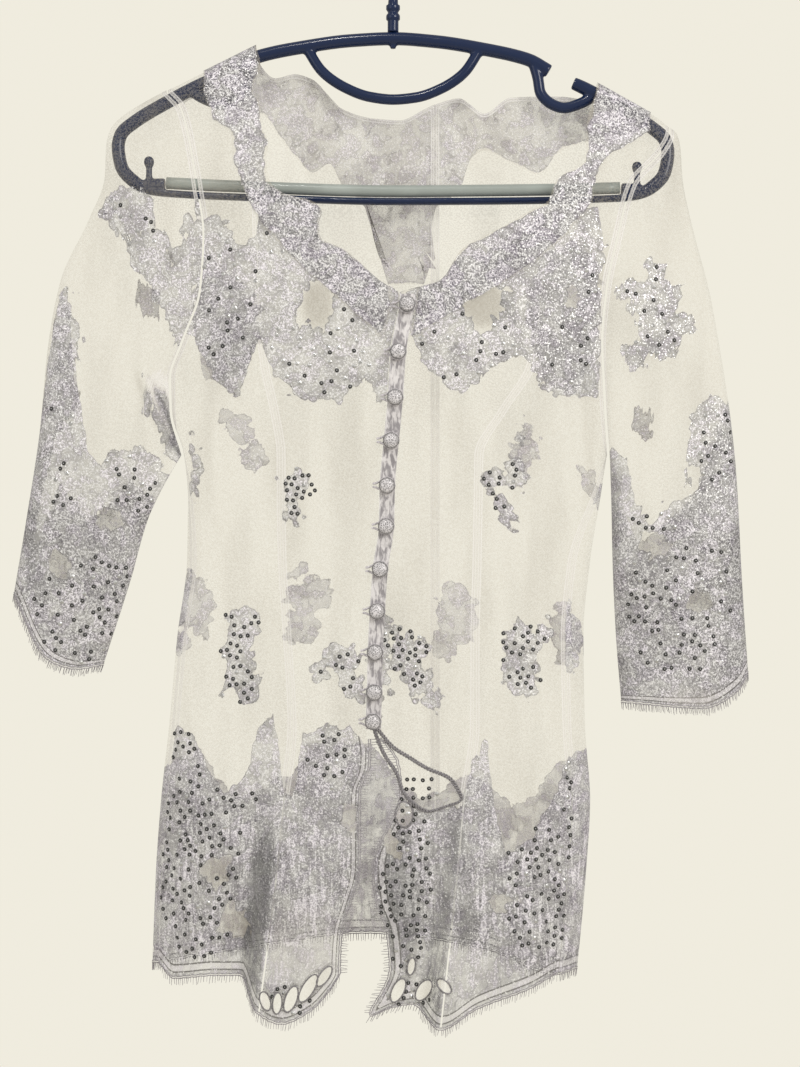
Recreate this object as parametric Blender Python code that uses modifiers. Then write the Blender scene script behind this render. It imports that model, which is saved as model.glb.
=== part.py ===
# Kebaya blouse of sheer lace net, hung on a navy plastic clothes hanger.
# Millimetres in the tables, metres in the mesh. +Z up, the front faces -Y.
# "left" is -X, the left of the photo. Origin: inner top of the hanger's hook.
import bpy
import bmesh
import math
from mathutils import Vector

MM = 0.001
CLOTH = 1.0          # wall of every cloth piece
GAP = 0.3            # between neighbouring pieces
FOLD_RADIUS = 7.0    # of the cloth where it hangs over the hanger
FOLD_LIFT = 1.0      # added over the SHOULDER table
SPREAD = 0.32        # how fast the two layers part below the fold
VIEW = 1300.0        # distance the outlines were read from
VIEW_X = 5.2         # and the point they were read about
VIEW_Z = -451.0
ARMPIT_Z = -392.25
NECK_Z = -270.8      # where the neck edges meet at the centre front
PLACKET = 12.0       # width of the satin strip
BUTTON = 12.0        # diameter
BUTTON_DEPTH = 8.4
LOOP = 1.6           # thickness of the rouleau
THREAD = 5.5         # length of the eyelash threads
STRIP = 1.8          # width of their backing strip
THREAD_PITCH = 9.6
SHOULDER_SEAM = 10.0 # how far behind and below the fold the shoulder seam lies
CENTRE_BACK_X = 31.5
TUBE_TILT = 0.0107   # the hanger hangs a little lower on the right
HOOK_RADIUS = 21.5   # centre line of the hook
HOOK_TUBE = 3.5

BODY = [  # z, left edge, right edge, front depth, back depth, left princess seam, right princess seam
    (-73.5, -206.2, 230.2, 24, 15, -120.8, 164.2),
    (-120, -202.4, 222.5, 25.6, 15.5, -116.9, 164.2),
    (-163.5, -198.8, 215.2, 27, 16, -108.8, 153.8),
    (-193.5, -192.1, 206.9, 28.8, 16.9, -102.8, 134.2),
    (-223.5, -185.4, 198.6, 30.6, 17.8, -102.2, 115.5),
    (-276, -180.9, 188.1, 33.2, 18.8, -101.2, 111),
    (-324, -177, 177.8, 34, 19, -96.5, 103.5),
    (-358.5, -168.4, 169.1, 32.4, 18.2, -89.1, 82.5),
    (-392.2, -156.8, 160.5, 30, 17, -84, 64.4),
    (-426, -153.8, 155.2, 28, 16, -84, 63.8),
    (-471, -154.5, 147.8, 27, 16, -83.2, 63),
    (-527.2, -161.7, 142.8, 27.7, 16, -79.5, 61.5),
    (-595.5, -168, 144, 30, 17, -75.8, 61.3),
    (-651, -174, 147.8, 32, 18, -81.8, 53.4),
    (-703.5, -177.8, 144.8, 34, 19, -87, 48.5),
    (-827.2, -182.2, 132.8, 36, 20, -102.8, 35.2),
]

ARMHOLE = [  # z, left seam, right seam
    (-120.2, -168.8, 207),
    (-131.2, -159, 207),
    (-150.8, -153.3, 207),
    (-163.5, -150.8, 201),
    (-189, -146.5, 178.5),
    (-227.2, -141.5, 168.1),
    (-268.5, -144.1, 159.3),
    (-308.2, -157.9, 156),
    (-334.5, -166.4, 157),
    (-358.5, -165.8, 158.2),
    (-392.2, -156.8, 160.5),
]

NECK = [  # z, left neck edge, left lace's outer edge, right neck edge, right lace's outer edge
    (-87.4, -102, -141.8, 153, 192.8),
    (-99.8, -99, -141.8, 153, 192.8),
    (-120, -105, -141.8, 151.7, 192.8),
    (-127.5, -99.8, -140, 149.2, 192.8),
    (-141, -99.2, -134.8, 145.2, 192.8),
    (-149.2, -97, -121.5, 144.6, 192.8),
    (-157.5, -93.2, -120.7, 144.4, 181.1),
    (-171, -94.5, -119.5, 144, 159.3),
    (-186, -92.2, -115, 122.2, 151.9),
    (-196.5, -81, -110.9, 117.9, 150.4),
    (-201.8, -60.1, -108, 115.7, 149.7),
    (-210, -53.2, -103.5, 100.8, 144.7),
    (-219, -55.2, -98.7, 85.4, 136.9),
    (-228.8, -54.2, -89.9, 66.9, 128.1),
    (-237.8, -36.9, -81.5, 51.3, 118.1),
    (-261, -9.8, -57.2, 35.2, 86.1),
    (-270.8, 4.5, -46.5, 4.5, 68.9),
    (-298.5, 4.5, -14.2, 4.5, 23.2),
]

BACK_NECK = [  # x, neck edge, lace's lower edge
    (-141.8, -106.9, -129),
    (-102, -87.4, -135.2),
    (-99, -100.5, -135.6),
    (-88.5, -109.5, -148.5),
    (-74.2, -106.5, -167.2),
    (-60.8, -110.2, -180),
    (-47.2, -123.8, -173.2),
    (-39, -132, -189),
    (-18.8, -139, -210),
    (-12.8, -139.8, -264),
    (5.2, -141, -264),
    (24, -132.4, -264),
    (31.5, -129, -209.3),
    (50.2, -124.5, -192.7),
    (57.8, -129.2, -171),
    (68.2, -135.8, -163.3),
    (88.5, -123.8, -172.2),
    (109.5, -123.3, -181.5),
    (125.2, -123.3, -163.9),
    (147.8, -126, -156.7),
    (153, -115.9, -155.8),
    (192.8, -141.5, -149.2),
]

SHOULDER = [  # x, z of the fold over the hanger
    (-213, -156),
    (-199.5, -137.6),
    (-168.8, -119.6),
    (-102, -86.4),
    (0, -70.5),
    (101.2, -88.5),
    (153, -114.9),
    (198.8, -140.6),
    (207, -147.8),
    (215.2, -160),
]

FRONT_HEM = [  # x, z
    (-176, -771),
    (-164.2, -783),
    (-133.5, -780.8),
    (-114, -780.8),
    (-102.8, -808.5),
    (-84, -817.5),
    (-63, -808.5),
    (-47.2, -792),
    (-39.8, -782.2),
    (-17.2, -811.5),
    (-1.5, -805.5),
    (15, -802.5),
    (35.2, -822),
    (63, -806.2),
    (103.5, -790.5),
    (122.3, -780),
    (137.2, -775.5),
]

BACK_HEM = [  # x, z, between the front hem's ends
    (-107.2, -759.8),
    (-21, -749.2),
    (65.2, -760),
]

FRONT_EDGE = [  # z, left front, right front
    (-596.2, -21, -21),
    (-609.8, -18, -3.8),
    (-624, -18.3, 4.5),
    (-645, -25.7, 6.5),
    (-702, -25.9, -14.2),
    (-726, -32.2, -12),
    (-750, -39.5, -3.8),
    (-777, -40.8, -1.5),
    (-811.5, -39.8, -17.2),
]

BUTTONS = [  # x, z
    (10.5, -279.8),
    (3.8, -315),
    (1.5, -348.8),
    (-1.5, -381),
    (-4.5, -414.8),
    (-5.2, -445.5),
    (-9.8, -477.8),
    (-12, -509.2),
    (-13.5, -540),
    (-14.2, -570),
    (-15, -591.8),
]

SLEEVE_LEFT_OUTER = [  # x, z
    (-168.8, -119.6),
    (-200, -135.8),
    (-211.4, -147),
    (-215.2, -160),
    (-216.2, -183),
    (-228.8, -216.8),
    (-249, -260.2),
    (-258.8, -310.5),
    (-264.8, -372.8),
    (-274.5, -437.2),
    (-284.2, -495),
]

SLEEVE_LEFT_INNER = [  # x, z
    (-156.8, -392.2),
    (-172.5, -419.2),
    (-183, -441.8),
    (-195.8, -485.2),
    (-216.8, -548.2),
]

SLEEVE_LEFT_CUFF = [  # x, z, between the ends of the outer and inner lines
    (-258.8, -543.8),
    (-237, -551.2),
]

SLEEVE_RIGHT_OUTER = [  # x, z
    (207, -147.8),
    (211.8, -152.2),
    (215.4, -165),
    (217.2, -186),
    (223.5, -216.8),
    (239.2, -279),
    (257.2, -403.5),
    (261.8, -488.2),
    (266.2, -554.2),
]

SLEEVE_RIGHT_INNER = [  # x, z
    (160.5, -392.2),
    (162, -426),
    (163.5, -473.2),
    (166.5, -526.5),
    (171, -576),
]

SLEEVE_RIGHT_CUFF = [  # x, z, between the ends of the outer and inner lines
    (258.8, -567),
    (232.5, -580.5),
]

HANGER_RING = [  # x, z, half height
    (-135, -111.8, 4.6),
    (-141.8, -114.8, 4.9),
    (-166.5, -127.8, 5),
    (-195, -145.3, 5),
    (-204, -153.8, 5),
    (-206.2, -162.8, 5),
    (-203.6, -178.5, 5),
    (-195.4, -188.2, 5),
    (-185.2, -194.2, 4.2),
    (-171, -197.7, 2.7),
    (-84.8, -200.7, 2.7),
    (0, -202.1, 2.7),
]

HANGER_TOP = [  # x, z
    (-117, -103.1),
    (-101.2, -94.5),
    (-65.2, -86.6),
    (-32.2, -81.8),
    (0, -79.9),
]

HANGER_NOTCH = [  # x, z
    (-105, -96),
    (-108.8, -109.5),
    (-110.2, -118.5),
    (-118.5, -127.5),
    (-128.2, -130.5),
    (-141, -126.8),
    (-151.5, -120.8),
]

HANGER_LOOP = [  # x, z
    (-65.2, -87),
    (-53.2, -105),
    (-36, -117),
    (-17.2, -123.8),
    (0, -125.6),
]

FOLDS = [  # side, x top, z top, x bottom, z bottom, depth, width
    (-1, -77.2, -606, -102.8, -816, 14, 10),
    (-1, -98.2, -621, -117.8, -789.8, -11, 13),
    (-1, -15.8, -609.8, -41.2, -789.8, -9, 20),
    (-1, -47.2, -651, -68.2, -812.2, 5, 14),
    (-1, 61.5, -606, 35.2, -822.8, 14, 10),
    (-1, 44.2, -636, 15.8, -808.5, -9, 13),
    (-1, -9.8, -609.8, -11.2, -808.5, -9, 18),
    (-1, 102.8, -643.5, 95.2, -793.5, 6, 20),
    (-1, -125.2, -441, -144.8, -774.8, 4, 16),
    (1, -69.8, -501, -77.2, -763.5, 6, 22),
    (1, 5.2, -501, 5.2, -752.2, -5, 24),
    (1, 80.2, -501, 84, -763.5, 6, 22),
]

for item in list(bpy.data.objects):
    bpy.data.objects.remove(item, do_unlink=True)

blouse = bpy.data.collections.new("kebaya_blouse")
bpy.context.scene.collection.children.link(blouse)
cutters = bpy.data.collections.new("joined_tubes")
bpy.context.scene.collection.children.link(cutters)


def material(name, colour, rough):
    mat = bpy.data.materials.new(name)
    mat.use_nodes = True
    shader = mat.node_tree.nodes["Principled BSDF"]
    shader.inputs["Base Color"].default_value = (colour[0], colour[1], colour[2], 1.0)
    shader.inputs["Roughness"].default_value = rough
    return mat


LACE = material("lace_net", (0.62, 0.61, 0.62), 0.7)
SATIN = material("satin", (0.75, 0.73, 0.78), 0.35)
NAVY = material("navy_plastic", (0.01, 0.02, 0.07), 0.25)
GREY = material("grey_plastic", (0.25, 0.28, 0.28), 0.5)


class Curve:
    """A smooth curve through (key, value) pairs that never overshoots them."""

    def __init__(self, pairs):
        self.points = sorted(pairs)
        keys = [k for k, v in self.points]
        vals = [v for k, v in self.points]
        steps = [(vals[i + 1] - vals[i]) / (keys[i + 1] - keys[i]) for i in range(len(keys) - 1)]
        slopes = [steps[0]]
        for before, after in zip(steps, steps[1:]):
            same = before * after > 0
            slopes.append(2 * before * after / (before + after) if same else 0.0)
        slopes.append(steps[-1])
        self.slopes = slopes

    def __call__(self, key):
        pts = self.points
        if key <= pts[0][0]:
            return pts[0][1]
        if key >= pts[-1][0]:
            return pts[-1][1]
        i = 0
        while pts[i + 1][0] < key:
            i += 1
        width = pts[i + 1][0] - pts[i][0]
        t = (key - pts[i][0]) / width
        a = pts[i][1]
        b = pts[i + 1][1]
        curve = (1 + 2 * t) * (1 - t) ** 2 * a + t * t * (3 - 2 * t) * b
        return curve + width * (t * (1 - t) ** 2 * self.slopes[i] - t * t * (1 - t) * self.slopes[i + 1])


class Straight(Curve):
    """Straight lines from point to point."""

    def __call__(self, key):
        pts = self.points
        key = max(pts[0][0], min(pts[-1][0], key))
        i = 0
        while pts[i + 1][0] < key:
            i += 1
        t = (key - pts[i][0]) / (pts[i + 1][0] - pts[i][0])
        return pts[i][1] + (pts[i + 1][1] - pts[i][1]) * t


def column(table, index):
    return Curve([(row[0], row[index]) for row in table])


class Path:
    """A smooth path through rows of points, from t = 0 to t = 1 by length."""

    def __init__(self, rows):
        length = [0.0]
        for a, b in zip(rows, rows[1:]):
            length.append(length[-1] + math.hypot(b[0] - a[0], b[1] - a[1]))
        self.curves = []
        for k in range(len(rows[0])):
            self.curves.append(Curve([(s / length[-1], row[k]) for s, row in zip(length, rows)]))

    def __call__(self, t):
        return [curve(t) for curve in self.curves]


def mix(a, b, t):
    return a + (b - a) * t


def ease(t):
    t = min(1.0, max(0.0, t))
    return t * t * (3 - 2 * t)


LEFT_EDGE = column(BODY, 1)
RIGHT_EDGE = column(BODY, 2)
FRONT_DEPTH = column(BODY, 3)
BACK_DEPTH = column(BODY, 4)
PRINCESS = [column(BODY, 5), column(BODY, 6)]
ARM = [column(ARMHOLE, 1), column(ARMHOLE, 2)]
NECK_IN = [column(NECK, 1), column(NECK, 3)]
NECK_OUT = [column(NECK, 2), column(NECK, 4)]
BACK_TOP = column(BACK_NECK, 1)
BACK_LACE = column(BACK_NECK, 2)
FOLD_LINE = Straight([row[:2] for row in SHOULDER])
HEM_FRONT = column(FRONT_HEM, 1)
HEM_BACK = column(FRONT_HEM[:1] + BACK_HEM + FRONT_HEM[-2:], 1)
OPEN_EDGE = [column(FRONT_EDGE, 1), column(FRONT_EDGE, 2)]
BUTTON_LINE = Curve([(z, x) for x, z in BUTTONS])
OPEN_Z = FRONT_EDGE[0][0]


def seen(x, y, z):
    """A point whose outline was read from VIEW away, brought to its own depth."""
    scale = 1.0 + y / VIEW
    return Vector((VIEW_X + (x - VIEW_X) * scale, y, VIEW_Z + (z - VIEW_Z) * scale))


def shoulder(x):
    return FOLD_LINE(x) + FOLD_LIFT


def middle(z):
    return (LEFT_EDGE(z) + RIGHT_EDGE(z)) / 2


def half(z):
    return (RIGHT_EDGE(z) - LEFT_EDGE(z)) / 2


def folds(side, x, z):
    total = 0.0
    for row_side, x_top, z_top, x_low, z_low, depth, width in FOLDS:
        if row_side == side:
            t = (z_top - z) / (z_top - z_low)
            line = mix(x_top, x_low, t)
            total += depth * ease(t) * math.exp(-((x - line) / width) ** 2)
    return total


def part_depth(side, x, z, cosine):
    """How far the front (side -1) or back (side 1) lies from the hanger's plane."""
    drop = max(0.0, shoulder(x) - z)
    if drop < FOLD_RADIUS:
        arc = math.sqrt(drop * (2 * FOLD_RADIUS - drop))
    else:
        arc = FOLD_RADIUS + SPREAD * (drop - FOLD_RADIUS)
    full = FRONT_DEPTH(z) if side < 0 else BACK_DEPTH(z)
    wide = full * cosine ** 0.7 + folds(side, x, z) * min(1.0, 1.6 * cosine)
    arc = max(arc, 0.01)
    wide = max(wide, 0.5)
    return (arc ** -4 + wide ** -4) ** -0.25


def body_point(angle, z):
    cosine = math.cos(angle)
    x = middle(z) + half(z) * math.sin(angle)
    side = -1 if cosine >= 0 else 1
    return seen(x, side * part_depth(side, x, z, abs(cosine)), z)


def on_body(angle, z, out=0.0, crest=False):
    point = body_point(angle, z)
    if out == 0.0:
        return point
    across = body_point(angle + 0.01, z) - body_point(angle - 0.01, z)
    down = body_point(angle, z - 0.6) - body_point(angle, z + 0.6)
    normal = across.cross(down).normalized()
    if normal.dot(Vector((math.sin(angle), -math.cos(angle), 0.0))) < 0:
        normal = -normal
    if crest:
        normal.y = 0.0
        normal.normalize()
    return point + normal * out


def front_angle(x, z):
    return math.asin(max(-1.0, min(1.0, (x - middle(z)) / half(z))))


def back_angle(x, z):
    return -math.pi - front_angle(x, z)


def shifted(angle, z, distance):
    speed = (body_point(angle + 0.004, z) - body_point(angle - 0.004, z)).length / 0.008
    return angle + distance / max(speed, 1.0)


def side_seam(side, z):
    """The side seams lie on the front, a little inside the edge."""
    inside = (4.5, 13.5)[side] * ease((ARMPIT_Z - z) / 85.0)
    if side == 0:
        return front_angle(LEFT_EDGE(z) + inside, z)
    return front_angle(RIGHT_EDGE(z) - inside, z)


def front_outer(side, z):
    sign = (1, -1)[side]
    if z > ARMPIT_Z:
        return front_angle(ARM[side](z), z)
    return shifted(side_seam(side, z), z, sign * 0.4)


def back_outer(side, z):
    sign = (1, -1)[side]
    if z > ARMPIT_Z:
        return back_angle(ARM[side](z), z)
    angle = shifted(side_seam(side, z), z, -sign * 0.4)
    return angle if side == 0 else angle - 2 * math.pi


def princess(side, z, sign):
    gap = GAP + 0.9 * ease((-520.0 - z) / 160.0)
    return shifted(front_angle(PRINCESS[side](z), z), z, sign * gap / 2)


def centre_front(z):
    return BUTTON_LINE(z) - PLACKET / 2


def inner_edge(side, z):
    """Neck edge, then the centre-front line, then the open edge below the buttons."""
    sign = (-1, 1)[side]
    if z > NECK_Z:
        x = NECK_IN[side](z)
    elif z > OPEN_Z:
        x = centre_front(z)
    else:
        x = OPEN_EDGE[side](z)
    return shifted(front_angle(x, z), z, sign * (GAP / 2 + 0.1))


def column_x(left, right, c, z):
    angle = mix(left(z), right(z), c)
    return middle(z) + half(z) * math.sin(angle)


def meet(left, right, c, start, line):
    """The height at which column c crosses a line given as z over x."""
    z = start
    for turn in range(30):
        z = mix(z, line(column_x(left, right, c, z)), 0.5)
    return z


def net(name, grid, mat, ring=False):
    """Cloth from rows of points; a ring closes on itself."""
    mesh = bmesh.new()
    rows = [[mesh.verts.new(point * MM) for point in row] for row in grid]
    count = len(rows[0])
    for above, below in zip(rows, rows[1:]):
        for i in range(count if ring else count - 1):
            j = (i + 1) % count
            mesh.faces.new((above[i], above[j], below[j], below[i]))
    bmesh.ops.recalc_face_normals(mesh, faces=mesh.faces)
    item = finish(name, mesh, mat)
    wall = item.modifiers.new("wall", "SOLIDIFY")
    wall.thickness = CLOTH * MM
    wall.offset = 0.0
    wall.use_even_offset = True
    return item


def finish(name, mesh, mat, collection=None):
    data = bpy.data.meshes.new(name)
    mesh.to_mesh(data)
    mesh.free()
    data.materials.append(mat)
    item = bpy.data.objects.new(name, data)
    (collection or blouse).objects.link(item)
    return item


class Piece:
    """A cloth piece between two edges, cut above and below along two lines."""

    def __init__(self, left, right, top, bottom, start, end, out=0.0):
        self.left = left
        self.right = right
        self.top = lambda c, drop=0.0: meet(left, right, c, start, lambda x: top(x) - drop)
        self.bottom = lambda c: meet(left, right, c, end, bottom)
        self.out = out
        self.over = False

    def point(self, c, z, drop=1.0):
        """A negative drop is behind the fold, and none is on it."""
        angle = mix(self.left(z), self.right(z), c)
        if drop < 0.0:
            angle = back_angle(middle(z) + half(z) * math.sin(angle), z)
        return on_body(angle, z, self.out, drop == 0.0 and self.over)

    def rows(self, c, drops, levels):
        """Heights down column c: the drops below its top, then steps to each level."""
        heights = [self.top(c, abs(drop)) for drop in drops]
        for level, steps in levels:
            last = heights[-1]
            goal = self.bottom(c) if level is None else level
            heights += [mix(last, goal, (k + 1) / steps) for k in range(steps)]
        return heights

    def build(self, name, mat, columns, drops, levels):
        self.over = len(drops) > 1
        shares = [i / columns for i in range(columns + 1)]
        heights = [self.rows(c, drops, levels) for c in shares]
        self.first_heights = heights[0]
        self.shares = shares
        self.last_heights = heights[-1]
        grid = []
        for r in range(len(heights[0])):
            drop = drops[r] if r < len(drops) else 1.0
            grid.append([self.point(c, heights[i][r], drop) for i, c in enumerate(shares)])
        return net(name, grid, mat)


OVER_FOLD = [-SHOULDER_SEAM, -5.5, -2.0, 0.0, 2.0, 6.0]
LEVELS = [(NECK_Z, 10), (ARMPIT_Z, 4), (OPEN_Z, 6), (None, 6)]


def back_line(x):
    return min(shoulder(x) - SHOULDER_SEAM - 1.7, BACK_TOP(x))


NAMES = ("left", "right")
side_panels = []
centre_panels = []
back_panels = []
for side in (0, 1):
    sign = (1, -1)[side]
    outer = lambda z, side=side: front_outer(side, z)
    seam_out = lambda z, side=side, sign=sign: princess(side, z, -sign)
    seam_in = lambda z, side=side, sign=sign: princess(side, z, sign)
    inner = lambda z, side=side: inner_edge(side, z)
    back_out = lambda z, side=side: back_outer(side, z)
    back_in = lambda z, side=side, sign=sign: shifted(back_angle(CENTRE_BACK_X, z), z, sign * GAP / 2)
    panel = Piece(outer, seam_out, shoulder, HEM_FRONT, -130.0, -790.0)
    panel.build("front_side_" + NAMES[side], LACE, 4, OVER_FOLD, LEVELS)
    side_panels.append(panel)
    panel = Piece(seam_in, inner, shoulder, HEM_FRONT, -100.0, -790.0)
    panel.build("front_centre_" + NAMES[side], LACE, 6, OVER_FOLD, LEVELS)
    centre_panels.append(panel)
    panel = Piece(back_out, back_in, back_line, HEM_BACK, -130.0, -760.0)
    panel.build("back_" + NAMES[side], LACE, 8, [0.0], LEVELS)
    back_panels.append(panel)


ON_CLOTH = CLOTH + GAP
placket = Piece(lambda z: shifted(front_angle(centre_front(z), z), z, 0.5),
                lambda z: front_angle(BUTTON_LINE(z) + PLACKET / 2, z),
                lambda x: NECK_Z - 0.5, lambda x: OPEN_Z - 1.5, -272.0, -600.0, ON_CLOTH)
placket.build("placket", SATIN, 2, [0.0], [(None, 22)])


def lace_inner(side, z):
    if side == 0:
        angle = shifted(inner_edge(side, z), z, -0.2)
        return min(angle, front_angle(BUTTON_LINE(z) - 12.0, z))
    angle = shifted(inner_edge(side, z), z, 0.2)
    if z < NECK_Z + 6.0:
        angle = max(angle, front_angle(BUTTON_LINE(z) + PLACKET / 2 + 1.0, z))
    return angle


for side in (0, 1):
    piece = Piece(lambda z, side=side: front_angle(NECK_OUT[side](z), z),
                  lambda z, side=side: lace_inner(side, z),
                  shoulder, lambda x: NECK[-1][0] - 5.0, -100.0, -303.0, ON_CLOTH)
    piece.build("neck_lace_" + NAMES[side], LACE, 3, OVER_FOLD, [(NECK_Z, 11), (None, 2)])

piece = Piece(lambda z: back_angle(BACK_NECK[0][0], z), lambda z: back_angle(BACK_NECK[-1][0], z),
              back_line, BACK_LACE, -110.0, -180.0, ON_CLOTH + 0.6)
piece.build("neck_lace_back", LACE, 24, [0.0], [(None, 4)])


class Sleeve:
    """Spans its armhole line, its two hanging folds and its cuff."""

    def __init__(self, side, outer, inner, cuff):
        self.side = side
        self.outer = Path(outer)
        self.inner = Path(inner)
        self.cuff = Path(cuff)
        self.top = side_panels[side].first_heights[3]
        heights = [z for z in side_panels[side].first_heights[3:] if z > ARMPIT_Z - 1.0]
        shares = [(self.top - z) / (self.top - ARMPIT_Z) for z in heights]
        shares = shares[:4] + shares[5:-4:2] + shares[-4:]
        half_ring = [math.acos(max(-1.0, 1 - 2 * min(1.0, s))) / math.pi for s in shares]
        self.turns = half_ring + [2.0 - turn for turn in reversed(half_ring[1:-1])]

    def armhole(self, s):
        z = mix(self.top, ARMPIT_Z, s)
        sign = (-1, 1)[self.side]
        x = ARM[self.side](z)
        return x + sign * (1.2 + 0.8 * s), z, x

    def flat(self, s, t):
        x0, z0, seam = self.armhole(s)
        xs, zs, seam = self.armhole(0.0)
        xp, zp, seam = self.armhole(1.0)
        xo, zo = self.outer(t)
        xi, zi = self.inner(t)
        xc, zc = self.cuff(s)
        x_start, z_start = self.outer(0.0)
        x_under, z_under = self.inner(0.0)
        fade = 1 - ease(t / 0.08)
        xo += (xs - x_start) * fade
        zo += (zs - z_start) * fade
        xi += (xp - x_under) * (1 - t)
        zi += (zp - z_under) * (1 - t)
        xa, za = self.cuff(0.0)
        xb, zb = self.cuff(1.0)
        x = mix(x0, xc, t) + mix(xo, xi, s)
        x -= mix(mix(xs, xp, s), mix(xa, xb, s), t)
        z = mix(z0, zc, t) + mix(zo, zi, s)
        z -= mix(mix(zs, zp, s), mix(za, zb, s), t)
        return x, z

    def point(self, turn, t, out=0.0):
        """turn runs 0-1 over the front from the outer fold, 1-2 back behind."""
        side = -1 if turn <= 1.0 else 1
        s = (1 - math.cos(math.pi * turn)) / 2
        x, z = self.flat(s, t)
        x0, z0, seam = self.armhole(s)
        cosine = math.cos(front_angle(seam, z0))
        start = part_depth(side, seam, z0, cosine)
        full = mix(20.0, 13.0, t) if side < 0 else mix(15.0, 10.0, t)
        xo, zo = self.flat(0.0, t)
        xi, zi = self.flat(1.0, t)
        away = min(s * math.hypot(xo - xi, zo - zi), FOLD_RADIUS)
        arc = math.sqrt(max(0.0, away * (2 * FOLD_RADIUS - away))) * math.sqrt(1 - s)
        tube = ((full * math.sin(math.pi * turn)) ** 4 + arc ** 4) ** 0.25
        depth = mix(start, tube, ease(t / 0.3))
        return seen(x, side * depth, z)


LENGTHS = [0.0, 0.03, 0.055, 0.08, 0.105, 0.13, 0.155, 0.18, 0.22, 0.3, 0.4, 0.52, 0.64, 0.76, 0.88, 1.0]
sleeves = []
for side, rows in ((0, (SLEEVE_LEFT_OUTER, SLEEVE_LEFT_INNER, SLEEVE_LEFT_CUFF)),
                   (1, (SLEEVE_RIGHT_OUTER, SLEEVE_RIGHT_INNER, SLEEVE_RIGHT_CUFF))):
    sleeve = Sleeve(side, rows[0], rows[1], rows[0][-1:] + rows[2] + rows[1][-1:])
    grid = [[sleeve.point(turn, t) for turn in sleeve.turns] for t in LENGTHS]
    net("sleeve_" + NAMES[side], grid, LACE, ring=True)
    sleeves.append(sleeve)


def edging(name, pairs, closed=False):
    """Backing strip beyond an edge, with a thread standing out of every other cell.

    pairs holds the edge's points, each with a point a little inside it."""
    edge = [pair[0] for pair in pairs]
    inside = [pair[1] for pair in pairs]
    if closed:
        edge = edge + [edge[0]]
        inside = inside + [inside[0]]
    length = [0.0]
    along = []
    away = []
    for k in range(len(edge) - 1):
        step = edge[k + 1] - edge[k]
        length.append(length[-1] + step.length)
        along.append(step.normalized())
        out = (edge[k] + edge[k + 1]) - (inside[k] + inside[k + 1])
        away.append((out - along[k] * out.dot(along[k])).normalized())
    count = max(2, round(length[-1] / THREAD_PITCH))
    threads = []
    stations = [] if closed else [(1.2, 0, False), (length[-1] - 1.2, len(along) - 1, False)]
    for k in range(len(along)):
        before = k - 1 if k > 0 or not closed else len(along) - 1
        if before >= 0 and along[before].dot(along[k]) < math.cos(math.radians(6)):
            stations.append((length[k], k, True))
    for k in range(count):
        middle_at = (k + 0.5) * length[-1] / count
        corners = [abs(station[0] - middle_at) for station in stations]
        if min(corners, default=9.0) < 1.2:
            continue
        for at in (middle_at - 0.5, middle_at + 0.5):
            i = 0
            while i < len(along) - 1 and length[i + 1] < at:
                i += 1
            stations.append((at, i, False))
        threads.append(middle_at - 0.5)
    stations.sort()
    rings = []
    for at, k, corner in stations:
        here = edge[k] + along[k] * (at - length[k])
        side_way = away[k]
        if corner:
            other = away[k - 1]
            side_way = (side_way + other).normalized()
            side_way /= max(0.5, side_way.dot(away[k]))
        normal = along[k].cross(away[k]).normalized() * (CLOTH / 2)
        near = here + side_way * (GAP + 0.2)
        far = here + side_way * (GAP + 0.2 + STRIP)
        rings.append(([near - normal, near + normal, far + normal, far - normal], side_way, at in threads))
    mesh = bmesh.new()
    verts = [[mesh.verts.new(point * MM) for point in ring[0]] for ring in rings]
    turns = len(rings) if closed else len(rings) - 1
    for k in range(turns):
        a = verts[k]
        b = verts[(k + 1) % len(rings)]
        for i in range(4):
            j = (i + 1) % 4
            if i == 2 and rings[k][2]:
                corners = [a[2], b[2], b[3], a[3]]
                tip = sum((v.co for v in corners), Vector()) / 4
                tip = mesh.verts.new(tip + rings[k][1] * THREAD * MM)
                for m in range(4):
                    mesh.faces.new((corners[m], corners[(m + 1) % 4], tip))
            else:
                mesh.faces.new((a[i], b[i], b[j], a[j]))
    if not closed:
        mesh.faces.new(list(reversed(verts[0])))
        mesh.faces.new(verts[-1])
    bmesh.ops.recalc_face_normals(mesh, faces=mesh.faces)
    return finish(name, mesh, LACE)


def low_edge(piece):
    """The hem's own corners, so that the strip keeps its gap all along."""
    pairs = []
    for c in piece.shares:
        low = piece.bottom(c)
        pairs.append((piece.point(c, low), piece.point(c, low + 3.0)))
    return pairs


def front_pairs(side):
    """Along the hem from the side seam to the corner, then up the open edge."""
    outer = side_panels[side]
    centre = centre_panels[side]
    pairs = low_edge(outer) + low_edge(centre)
    for z in reversed(centre.last_heights[:-1]):
        if z < OPEN_Z - 8.0:
            pairs.append((centre.point(1.0, z), centre.point(0.95, z)))
    return pairs


for side in (0, 1):
    edging("edging_front_" + NAMES[side], front_pairs(side))
    sleeve = sleeves[side]
    pairs = [(sleeve.point(turn, 1.0), sleeve.point(turn, 0.985)) for turn in sleeve.turns]
    edging("edging_cuff_" + NAMES[side], pairs, closed=True)
pairs = low_edge(back_panels[0]) + list(reversed(low_edge(back_panels[1])))
edging("edging_back", pairs)


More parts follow.
